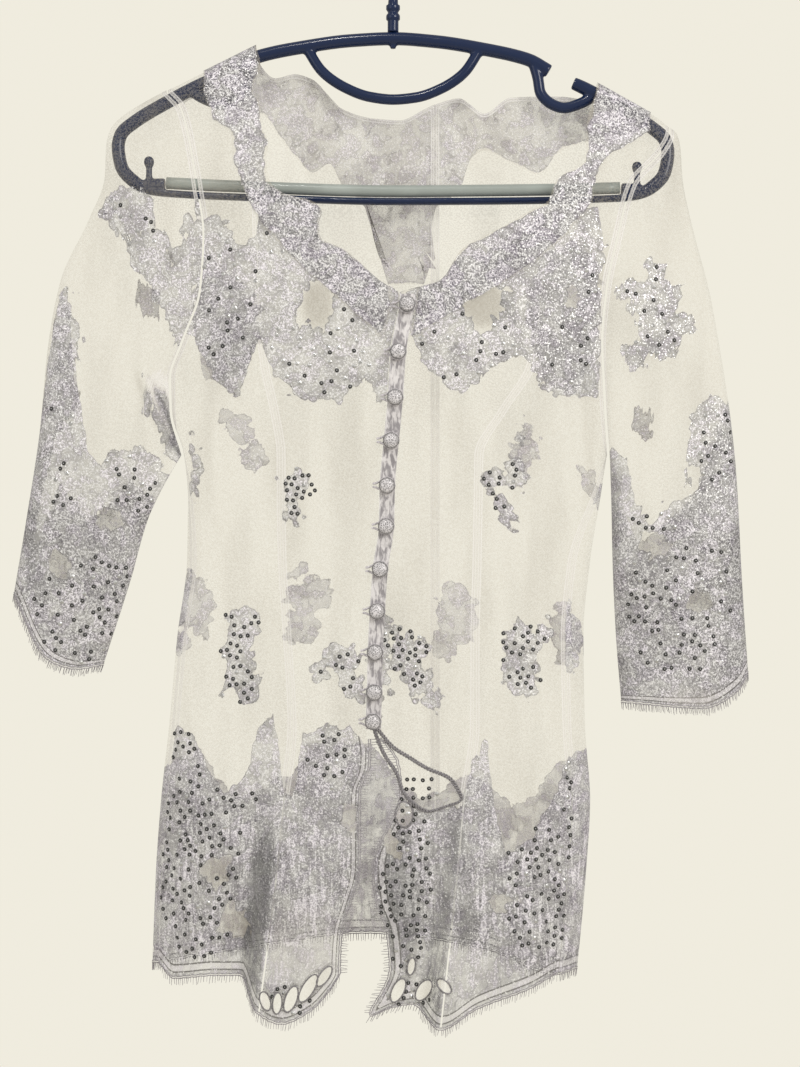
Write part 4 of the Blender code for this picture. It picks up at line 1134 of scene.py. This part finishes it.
def sleeve_cloth(side):
    sleeve = Sleeve(side, side_cuts[side])
    sleeves.append(sleeve)
    turns, lengths = 120, 210
    word = NAMES[side]

    def place(across, down):
        turn = across * 2.0
        turn = np.where(across > 0.9999, 0.0, turn)
        t = down ** 1.15
        points = sleeve.place(turn, t)
        s = (1 - np.cos(math.pi * turn)) / 2
        x, z = sleeve.flat(s, t)
        front = lace_depth(word, x, z)
        behind = lace_depth(word + " behind", x, z)
        x0, z0, unused = sleeve.armhole(s)
        from_armhole = np.hypot(x - x0, z - z0)
        under = np.minimum(np.abs(turn - 1.0), 1.0) * 90.0
        lace = np.where(turn <= 1.0, front, behind)
        lace = np.where(turn <= 1.0, lace, mix(lace, front, ease(1 - s * 6)))
        lace, tone = ruffled(points, lace)
        shown = np.where((turn > 0.08) & (turn < 0.92) & (t > 0.02) & (t < 0.985), x, 1e6)
        return points, {"seam": np.minimum(from_armhole, under), "lace": lace, "tone": tone, "steep": np.zeros_like(x),
                        "hem": (1 - t) * SLEEVE_LENGTH, "dusk": np.where(turn <= 1.0, painted_shading_at(word, x, z), 0.0),
                        "view": np.stack((shown, z), axis=-1)}

    item = woven("sleeve_" + word + "_cloth", turns, lengths, place, NET_LACE)
    mesh = bmesh.new()
    mesh.from_mesh(item.data)
    bmesh.ops.remove_doubles(mesh, verts=mesh.verts, dist=0.00002)
    mesh.to_mesh(item.data)
    mesh.free()
    cloth["sleeve_" + word] = item


for side in (0, 1):
    sleeve_cloth(side)

for node, item in cloth.items():
    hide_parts(node)
    "satin" if node == "placket" else "lace_net"


# ---------------------------------------------------------------- threads and cords

def strands(name, lines, radius, material, sides=0, taper=False):
    """Round threads along lists of points, as one closed mesh."""
    wires = bpy.data.curves.new(name + "_wire", "CURVE")
    wires.dimensions = "3D"
    wires.bevel_depth = radius * MM
    wires.bevel_resolution = sides
    wires.use_fill_caps = True
    for line, closed in lines:
        wire = wires.splines.new("POLY")
        wire.points.add(len(line) - 1)
        for k, (point, here) in enumerate(zip(wire.points, line)):
            point.co = (here[0] * MM, here[1] * MM, here[2] * MM, 1.0)
            point.radius = 1.0 - 0.6 * k / len(line) if taper else 1.0
        wire.use_cyclic_u = closed
    holder = linked(name + "_wire", wires)
    data = bpy.data.meshes.new_from_object(holder.evaluated_get(bpy.context.evaluated_depsgraph_get()))
    bpy.data.objects.remove(holder, do_unlink=True)
    bpy.data.curves.remove(wires)
    data.name = name
    data.materials.clear()
    data.materials.append(material)
    data.shade_smooth()
    item = linked(name, data)
    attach(item, "root")
    return item


def front_place(x, z, out=0.6):
    """A point on the front's cloth where the camera sees x, z."""
    x, z = np.asarray(x, float), np.asarray(z, float)
    return on_body(front_angle(x, z), z, out)


def hem_runs():
    """Each hem, front edge and cuff as points on the edge with points a little inside it."""
    runs = {}
    for side in (0, 1):
        word = NAMES[side]
        edge, inside = [], []
        for cut, columns in ((side_cuts[side], 40), (centre_cuts[side], 60)):
            c = np.linspace(0.0, 1.0, columns)
            low = cut.meet(c, cut.end, cut.bottom)
            edge.append(cut.place(c, low))
            inside.append(cut.place(c, low + HEM_STEP))
        cut = centre_cuts[side]
        z = np.linspace(float(low[-1]), OPEN_Z - 8.0, 110)[1:]
        edge.append(cut.place(np.ones_like(z), z))
        inside.append(cut.place(np.full_like(z, 0.95), z))
        runs["edging_front_" + word] = (np.concatenate(edge), np.concatenate(inside), False)
        turn = np.linspace(0.0, 2.0, 161)[:-1]
        runs["edging_cuff_" + word] = (sleeves[side].place(turn, np.ones_like(turn)),
                                       sleeves[side].place(turn, np.full_like(turn, 0.985)), True)
    edge, inside = [], []
    for side in (0, 1):
        c = np.linspace(0.0, 1.0, 90) if side == 0 else np.linspace(1.0, 0.0, 90)
        low = back_cuts[side].meet(c, back_cuts[side].end, back_cuts[side].bottom)
        edge.append(back_cuts[side].place(c, low))
        inside.append(back_cuts[side].place(c, low + HEM_STEP))
    runs["edging_back"] = (np.concatenate(edge), np.concatenate(inside), False)
    return runs


def eyelash(name, edge, inside, closed):
    """A corded edge with the lace's loose threads standing out of it."""
    draw = random.Random(name)
    if closed:
        edge = np.concatenate((edge, edge[:1]))
        inside = np.concatenate((inside, inside[:1]))
    steps = np.linalg.norm(np.diff(edge, axis=0), axis=1)
    length = np.concatenate(([0.0], np.cumsum(steps)))
    away = unit(edge - inside)

    def along(at, out, lift=0.0):
        here = [np.interp(at, length, edge[:, k]) for k in range(3)]
        way = [np.interp(at, length, away[:, k]) for k in range(3)]
        return [here[0] + way[0] * out, here[1] + way[1] * out + lift, here[2] + way[2] * out]

    at = np.arange(0.0, length[-1], 1.6)
    end = length[-1]
    lines = []
    for out in (0.2, 1.6):
        lines.append(([along(s, out + 0.25 * math.sin(s * 0.9)) for s in at], closed))
    threads = []
    s = 0.8
    while s < end - 0.8:
        reach = draw.uniform(4.2, 6.6)
        lean = draw.uniform(-0.9, 0.9)
        lift = draw.uniform(-0.5, 0.5)
        threads.append(([along(s, LASH_START),
                         along(min(max(s + lean * 0.4, 0), end), LASH_START + reach * 0.5, lift * 0.5),
                         along(min(max(s + lean, 0), end), LASH_START + reach, lift)], False))
        s += draw.uniform(1.6, 2.5)
    item = strands(name + "_cord", lines, 0.42, THREAD, 1)
    lash = strands(name + "_threads", threads, 0.27, THREAD, 0, True)
    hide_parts(name)
    return [item, lash]


edgings = {}
for name, (edge, inside, closed) in hem_runs().items():
    edgings[name] = eyelash(name, edge, inside, closed)

LEAF = [  # photo pixels: the braided leaf below the last button, as a loop
    (374, 726), (392, 746), (409, 757), (427, 768), (448, 777), (457, 788), (461, 800), (446, 806), (427, 811),
    (412, 802), (403, 791), (396, 772), (383, 752),
]


def smooth_loop(pixels):
    """A rounded loop through the pixel points, as x and z."""
    count = len(pixels)
    line = []
    for k in range(count):
        a, b, c, d = [np.array(pixels[(k + m) % count], float) for m in (-1, 0, 1, 2)]
        for step in range(5):
            t = step / 5
            line.append(0.5 * (2 * b + (c - a) * t + (2 * a - 5 * b + 4 * c - d) * t ** 2
                               + (3 * b - a - 3 * c + d) * t ** 3))
    line = np.array(line)
    return view_x(line[:, 0]), view_z(line[:, 1])


def braid(pixels):
    """Two cords twisted round each other along a loop."""
    x, z = smooth_loop(pixels)
    run = np.concatenate(([0.0], np.cumsum(np.hypot(np.diff(x), np.diff(z)))))
    at = np.linspace(0.0, run[-1], int(run[-1] / 0.8))
    x, z = np.interp(at, run, x), np.interp(at, run, z)
    cords = []
    for phase in (0.0, math.pi):
        turn = at * 1.35 + phase
        cords.append((front_place(x + 0.75 * np.sin(turn), z + 0.75 * np.sin(turn), 1.0 + 0.5 * np.cos(turn)), True))
    return cords


def petal_ring(px, pz, wide, high, tilt):
    """The cord round a plain petal."""
    angle = np.linspace(0.0, 2 * math.pi, 25)[:-1]
    turn = math.radians(tilt)
    u, v = 0.98 * wide * PIXEL * np.cos(angle), 0.98 * high * PIXEL * np.sin(angle)
    return front_place(view_x(px) + u * math.cos(turn) - v * math.sin(turn),
                       view_z(pz) + u * math.sin(turn) + v * math.cos(turn), 0.5), True


corded = strands("braided_leaf_outline", braid(LEAF), 0.75, CORD, 1)
petal_cords = strands("petal_outlines", [petal_ring(*row) for row in PETALS if row[1] > 800], 0.55, CORD, 1)


# ---------------------------------------------------------------- sequins

SEQUINS = {  # photo pixels: x, y, half width, half height, how many, share of dark ones, True where they lie on the net
    "front": [
        (200, 860, 42, 100, 116, 0.9), (180, 745, 20, 14, 12, 0.9), (222, 650, 20, 46, 22, 0.9),
        (245, 690, 14, 22, 8, 0.9), (294, 492, 16, 24, 16, 0.95), (500, 480, 18, 30, 14, 0.9),
        (408, 655, 22, 34, 28, 0.9), (340, 672, 24, 24, 12, 0.8), (522, 655, 26, 36, 28, 0.9),
        (400, 640, 24, 14, 6, 0.9, True), (405, 880, 26, 90, 74, 0.9), (330, 760, 24, 28, 16, 0.8),
        (424, 784, 20, 16, 11, 0.9, True), (404, 814, 12, 16, 7, 0.9, True), (250, 640, 12, 30, 5, 0.9, True),
        (302, 486, 16, 14, 5, 0.95, True), (245, 800, 14, 10, 5, 0.95, True), (540, 890, 42, 62, 70, 0.8),
        (575, 800, 12, 50, 16, 0.7), (290, 1000, 24, 14, 8, 0.8), (410, 995, 22, 16, 12, 0.8),
        (230, 300, 30, 70, 26, 0.4), (330, 350, 60, 44, 36, 0.35), (290, 230, 28, 34, 12, 0.3),
        (470, 330, 60, 54, 34, 0.35), (570, 310, 28, 80, 24, 0.35),
    ],
    "left": [
        (90, 610, 60, 54, 54, 0.8), (130, 480, 30, 34, 18, 0.8), (60, 460, 14, 90, 14, 0.5),
        (135, 222, 26, 30, 10, 0.4),
    ],
    "right": [
        (655, 315, 36, 50, 22, 0.5), (714, 440, 22, 40, 20, 0.7), (680, 600, 52, 80, 70, 0.7),
        (655, 520, 24, 16, 8, 0.8),
    ],
}


def sequin_look(name, level, metal):
    look = Look(name)
    tone = look.noise(5.0, 1.0)
    return look.finish(colour=look.blend(tone, grey(level * 0.7), grey(level * 1.3)), rough=0.25 + 0.2 * tone,
                       metal=metal, specular=0.6)


def sequins():
    draw = random.Random(11)
    mesh = bmesh.new()
    placed = []
    rows = [(layer, *row) for layer, table in SEQUINS.items() for row in table]
    for layer, px, pz, wide, high, count, dark, *loose in rows:
        view, points, normals, lace = [np.concatenate(part) for part in zip(*laid[layer])]
        far = np.hypot((view[:, 0] - view_x(px)) / (wide * PIXEL), (view[:, 1] - view_z(pz)) / (high * PIXEL))
        fit = list(np.flatnonzero((far < 1.0) & (lace > (-20.0 if loose else 1.0))))
        draw.shuffle(fit)
        made = 0
        for k in fit:
            x, z = view[k]
            if any(abs(x - a) < SEQUIN_ROOM and math.hypot(x - a, z - b) < SEQUIN_ROOM for a, b in placed):
                continue
            placed.append((x, z))
            made += 1
            away = Vector(normals[k] if normals[k][1] < 0 else -normals[k])
            lean = Matrix.Rotation(draw.uniform(-0.2, 0.2), 4, "X") @ Matrix.Rotation(draw.uniform(-0.2, 0.2), 4, "Y")
            centre = Vector(points[k]) * MM + away * SEQUIN_HEIGHT * MM
            turn = Vector((0, 0, 1)).rotation_difference(away).to_matrix().to_4x4()
            ring = bmesh.ops.create_cone(mesh, segments=9, radius1=SEQUIN_RADIUS * MM, radius2=SEQUIN_TOP * MM,
                                         depth=SEQUIN_HEIGHT * MM, cap_ends=True,
                                         matrix=Matrix.Translation(centre) @ turn @ lean)
            rim = draw.random() < dark
            for face in {face for vert in ring["verts"] for face in vert.link_faces}:
                top = len(face.verts) > 4 and (face.calc_center_median() - centre).dot(away) > 0
                face.material_index = 1 if top else (0 if rim else 2)
            if made == count:
                break
    item = finished(mesh, "sequins", [SEQUIN_DARK, SEQUIN_CENTRE, SEQUIN_SILVER], smooth=False)
    return item


SEQUIN_DARK = sequin_look("sequin_dark_ring", 0.05, 0.5)
SEQUIN_CENTRE = sequin_look("sequin_centre", 0.42, 0.2)
SEQUIN_SILVER = sequin_look("sequin_silver", 0.60, 0.9)
beading = sequins()


# ---------------------------------------------------------------- buttons and loops

def button_frame(x, z):
    base = Vector(front_place(x, z, 0.0))
    normal = (Vector(front_place(x, z, 1.0)) - base).normalized()
    across = Vector((1.0, 0.0, 0.0))
    across = (across - normal * across.dot(normal)).normalized()
    up = normal.cross(across).normalized()
    return base, across, up if up.z > 0 else -up, normal


def buttons():
    draw = random.Random(3)
    for number, (x, z) in enumerate(BUTTONS, 1):
        base, across, up, normal = button_frame(x, z)
        lift = CLOTH / 2 + GAP + CLOTH + GAP + BUTTON_DEPTH / 2
        mesh = bmesh.new()
        bmesh.ops.create_uvsphere(mesh, u_segments=28, v_segments=18, radius=1.0)
        phase = draw.uniform(0, 6)
        # painted rim shade: 0 at the ball's front and back, 1 round its outline
        painted_rim_shade = [math.hypot(vert.co.x, vert.co.y) for vert in mesh.verts]
        for vert in mesh.verts:
            angle = math.atan2(vert.co.y, vert.co.x)
            rim = 1 - abs(vert.co.z)
            pucker = 1 + 0.02 * math.sin(angle * 7 + phase) * rim + 0.015 * math.sin(angle * 13 + 2 * phase) * rim
            local = vert.co * pucker
            point = base + across * (local.x * BUTTON / 2) + up * (local.y * BUTTON / 2)
            vert.co = (point + normal * (lift + local.z * BUTTON_DEPTH / 2)) * MM
        bmesh.ops.recalc_face_normals(mesh, faces=mesh.faces)
        name = "button_%02d" % number
        item = finished(mesh, name + "_ball", [BUTTON_LACE])
        mark(item, rim=painted_rim_shade)
        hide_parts(name)
        shape = [(-10.5, 1.2, 1.9), (-8.2, 1.5, 2.3), (-4.6, 3.2, LOOP_LIFT)]
        for step in range(11):
            turn = math.radians(130 - 26 * step)
            shape.append((5.6 * math.cos(turn), 5.6 * math.sin(turn), LOOP_LIFT))
        shape += [(-4.6, -3.2, LOOP_LIFT), (-8.2, -1.5, 2.3), (-10.5, -1.2, 1.9)]
        line = [tuple(base + across * u + up * v + normal * w) for u, v, w in shape]
        name = "button_loop_%02d" % number
        item = strands(name + "_roll", [(line, False)], 0.85, LOOP_SATIN, 3)
        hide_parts(name)


buttons()


# ---------------------------------------------------------------- hanger

HANGER_RING = [  # x, z, half height
    (-135, -111.8, 4.6), (-141.8, -114.8, 4.9), (-166.5, -127.8, 5), (-195, -145.3, 5), (-204, -153.8, 5),
    (-206.2, -162.8, 5), (-203.6, -178.5, 5), (-195.4, -188.2, 5), (-185.2, -194.2, 4.2), (-171, -197.7, 2.7),
    (-84.8, -200.7, 2.7), (0, -202.1, 2.7),
]
HANGER_TOP = [(-117, -103.1), (-101.2, -94.5), (-65.2, -86.6), (-32.2, -81.8), (0, -79.9)]  # x, z
HANGER_NOTCH = [(-105, -96), (-108.8, -109.5), (-110.2, -118.5), (-118.5, -127.5), (-128.2, -130.5),
                (-141, -126.8), (-151.5, -120.8)]  # x, z
HANGER_LOOP = [(-65.2, -87), (-53.2, -105), (-36, -117), (-17.2, -123.8), (0, -125.6)]  # x, z


def add_tube(mesh, path, sides, count, depth=1.0):
    """A round bar along a path of x, z, radius: a circle that is extruded from place to place."""
    centres = [path(k / (count - 1)) for k in range(count)]
    ring = bmesh.ops.create_circle(mesh, cap_ends=False, segments=sides, radius=1.0)["verts"]
    edges = list({edge for vert in ring for edge in vert.link_edges})
    first, last = edges, Matrix.Identity(4)
    for k, here in enumerate(centres):
        before, after = centres[max(k - 1, 0)], centres[min(k + 1, count - 1)]
        along = Vector((after[0] - before[0], 0.0, after[1] - before[1])).normalized()
        place = Matrix.Identity(4)
        axes = (Vector((-along.z, 0.0, along.x)) * here[2], Vector((0.0, max(here[2], depth), 0.0)), along,
                Vector((here[0], 0.0, here[1])))
        for index, axis in enumerate(axes):
            place.col[index][:3] = axis * MM
        if k:
            grown = bmesh.ops.extrude_edge_only(mesh, edges=edges)["geom"]
            ring = [part for part in grown if isinstance(part, bmesh.types.BMVert)]
            edges = [part for part in grown if isinstance(part, bmesh.types.BMEdge)]
            edges = [edge for edge in edges if all(vert in ring for vert in edge.verts)]
        bmesh.ops.transform(mesh, matrix=place @ last.inverted(), verts=ring)
        last = place
    bmesh.ops.edgeloop_fill(mesh, edges=first)
    bmesh.ops.edgeloop_fill(mesh, edges=edges)


def tilted(rows):
    return [(row[0], row[1] - TUBE_TILT * row[0]) + tuple(row[2:]) for row in rows]


def mirrored(rows):
    return tilted(rows + [(-row[0],) + tuple(row[1:]) for row in reversed(rows[:-1])])


def even(rows, radius):
    return [(row[0], row[1], radius) for row in rows]


def tubes(name, parts, material, melt=0.0):
    """Bars in one plane; melt is the voxel size that runs them into one moulding."""
    mesh = bmesh.new()
    for path, count, sides, depth in parts:
        add_tube(mesh, path, sides, count, depth)
    bmesh.ops.recalc_face_normals(mesh, faces=mesh.faces)
    item = finished(mesh, name + "_moulded", [material])
    if melt:
        voxels = item.modifiers.new("melt", "REMESH")
        voxels.mode = "VOXEL"
        voxels.voxel_size = melt * MM
        soften = item.modifiers.new("soften", "SMOOTH")
        soften.iterations = 5
        soften.factor = 0.5
        data = bpy.data.meshes.new_from_object(item.evaluated_get(bpy.context.evaluated_depsgraph_get()))
        item.modifiers.clear()
        item.data = data
        data.shade_smooth()
    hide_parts(name)
    return item


parts = [(Path(mirrored(HANGER_RING)), 150, 20, 4.6), (Path(mirrored(even(HANGER_TOP, 4.9))), 50, 20, 4.9)]
for side in (0, 1):
    sign = (1, -1)[side]
    parts.append((Path(tilted([(sign * x, z, 4.2) for x, z in HANGER_NOTCH])), 30, 18, 1.0))
    peg = [(-sign * PEG_X, PEG_Z + up, radius)
           for up, radius in ((0.0, 2.6), (12.5, 2.4), (14.0, 3.4), (16.8, 4.0), (19.6, 3.2), (20.9, 1.2))]
    parts.append((Path(tilted(peg)), 22, 14, 1.0))
    socket = [(-sign * x, SOCKET_Z, radius) for x, radius in ((186.0, 4.4), (172.2, 5.2), (171.0, 5.2))]
    parts.append((Path(tilted(socket)), 6, 16, 1.0))
parts.append((Path(mirrored(even(HANGER_LOOP, 4.0))), 60, 18, 1.0))
parts.append((Path([(0.0, -82.0, 2.6), (0.0, -87.4, 2.2)]), 4, 12, 1.0))
moulding = tubes("hanger_frame", parts, NAVY, 0.9)
bar = tubes("hanger_bar", [(Path(mirrored([(-169.8, -190.0, 4.4), (-122.2, -191.8, 4.4), (0.0, -194.2, 4.4)])),
                            40, 28, 1.0)], GREY_BAR)
hook = [(0.0, -75.0, 4.1)]
for rib in (-65.5, -58.5):
    hook += [(0.0, rib - 1.0, 4.1), (0.0, rib, 5.2), (0.0, rib + 3.2, 5.2), (0.0, rib + 4.2, 3.8)]
hook += [(0.5, -46.0, 3.5), (7.0, -37.5, 3.5), (16.5, -29.5, 3.5)]
for step in range(12):
    turn = math.radians(-15 + 19.5 * step)
    hook.append((HOOK_RADIUS * math.cos(turn), -HOOK_RADIUS + HOOK_TUBE + HOOK_RADIUS * math.sin(turn), HOOK_TUBE))
hanger_hook = tubes("hanger_hook", [(Path(hook), 150, 24, 1.0)], NAVY)


# ---------------------------------------------------------------- studio

def area_light(name, place, aim, size, power, colour):
    lamp = bpy.data.lights.new(name, "AREA")
    lamp.shape = "DISK"
    lamp.size = size
    lamp.energy = power
    lamp.color = colour
    item = linked(name, lamp)
    item.location = place
    item.rotation_euler = (Vector(aim) - Vector(place)).to_track_quat("-Z", "Y").to_euler()


def studio():
    bpy.context.scene.view_settings.view_transform = "Standard"
    world = bpy.data.worlds.new("pale_room")
    bpy.context.scene.world = world
    world.use_nodes = True
    nodes, links = world.node_tree.nodes, world.node_tree.links
    nodes["Background"].inputs[0].default_value = (0.87, 0.84, 0.76, 1.0)
    nodes["Background"].inputs[1].default_value = 0.62
    shown = nodes.new("ShaderNodeBackground")
    shown.inputs[0].default_value = (0.87, 0.838, 0.735, 1.0)
    path = nodes.new("ShaderNodeLightPath")
    both = nodes.new("ShaderNodeMixShader")
    links.new(path.outputs["Is Camera Ray"], both.inputs[0])
    links.new(nodes["Background"].outputs[0], both.inputs[1])
    links.new(shown.outputs[0], both.inputs[2])
    links.new(both.outputs[0], nodes["World Output"].inputs["Surface"])
    area_light("key", (1.1, -1.5, 0.25), (0, 0, -0.45), 0.9, 14, (1.0, 0.985, 0.96))
    area_light("lamp", (-0.15, -0.9, 0.85), (0, 0, -0.1), 0.12, 4, (1.0, 0.98, 0.94))
    area_light("fill", (-1.2, -1.2, 0.0), (0, 0, -0.4), 1.2, 3, (0.97, 0.98, 1.0))
    mesh = bmesh.new()
    bmesh.ops.create_circle(mesh, cap_ends=True, segments=96, radius=1.5)
    bmesh.ops.translate(mesh, verts=mesh.verts, vec=(0, 0, -1.45))
    look = Look("pale_floor")
    look.finish(colour=look.blend(look.noise(60.0), (0.80, 0.77, 0.70, 1.0), (0.84, 0.81, 0.74, 1.0)), rough=0.8)
    data = bpy.data.meshes.new("floor")
    mesh.to_mesh(data)
    mesh.free()
    data.materials.append(look.material)
    floor = linked("floor", data)
    lens = bpy.data.cameras.new("photo_view")
    lens.sensor_fit = "VERTICAL"
    lens.sensor_height = 36.0
    lens.lens = lens.sensor_height / (PHOTO_ROWS * PIXEL / VIEW)
    camera = linked("photo_view", lens)
    camera.location = (VIEW_X * MM, -VIEW * MM, VIEW_Z * MM)
    camera.rotation_euler = (math.pi / 2, 0, 0)
    bpy.context.scene.camera = camera


studio()

SHEETS = {  # cloth: width and length of the flat cut in metres, its area in square metres, what is sewn on it
    "front_side_left": (0.109, 0.727, 0.0492, []),
    "front_centre_left": (0.104, 0.773, 0.0415, edgings["edging_front_left"] + [petal_cords]),
    "front_centre_right": (0.105, 0.809, 0.0429, edgings["edging_front_right"] + [corded]),
    "front_side_right": (0.105, 0.734, 0.0470, []),
    "back_left": (0.237, 0.690, 0.1308, edgings["edging_back"]),
    "back_right": (0.192, 0.676, 0.0907, []),
    "sleeve_left": (0.586, 0.409, 0.0785, edgings["edging_cuff_left"]),
    "sleeve_right": (0.535, 0.414, 0.0758, edgings["edging_cuff_right"]),
    "neck_lace_left": (0.047, 0.300, 0.00828, []),
    "neck_lace_right": (0.055, 0.285, 0.00822, []),
    "neck_lace_back": (0.340, 0.177, 0.01842, []),
    "placket": (0.0113, 0.3205, 0.00358, []),
}
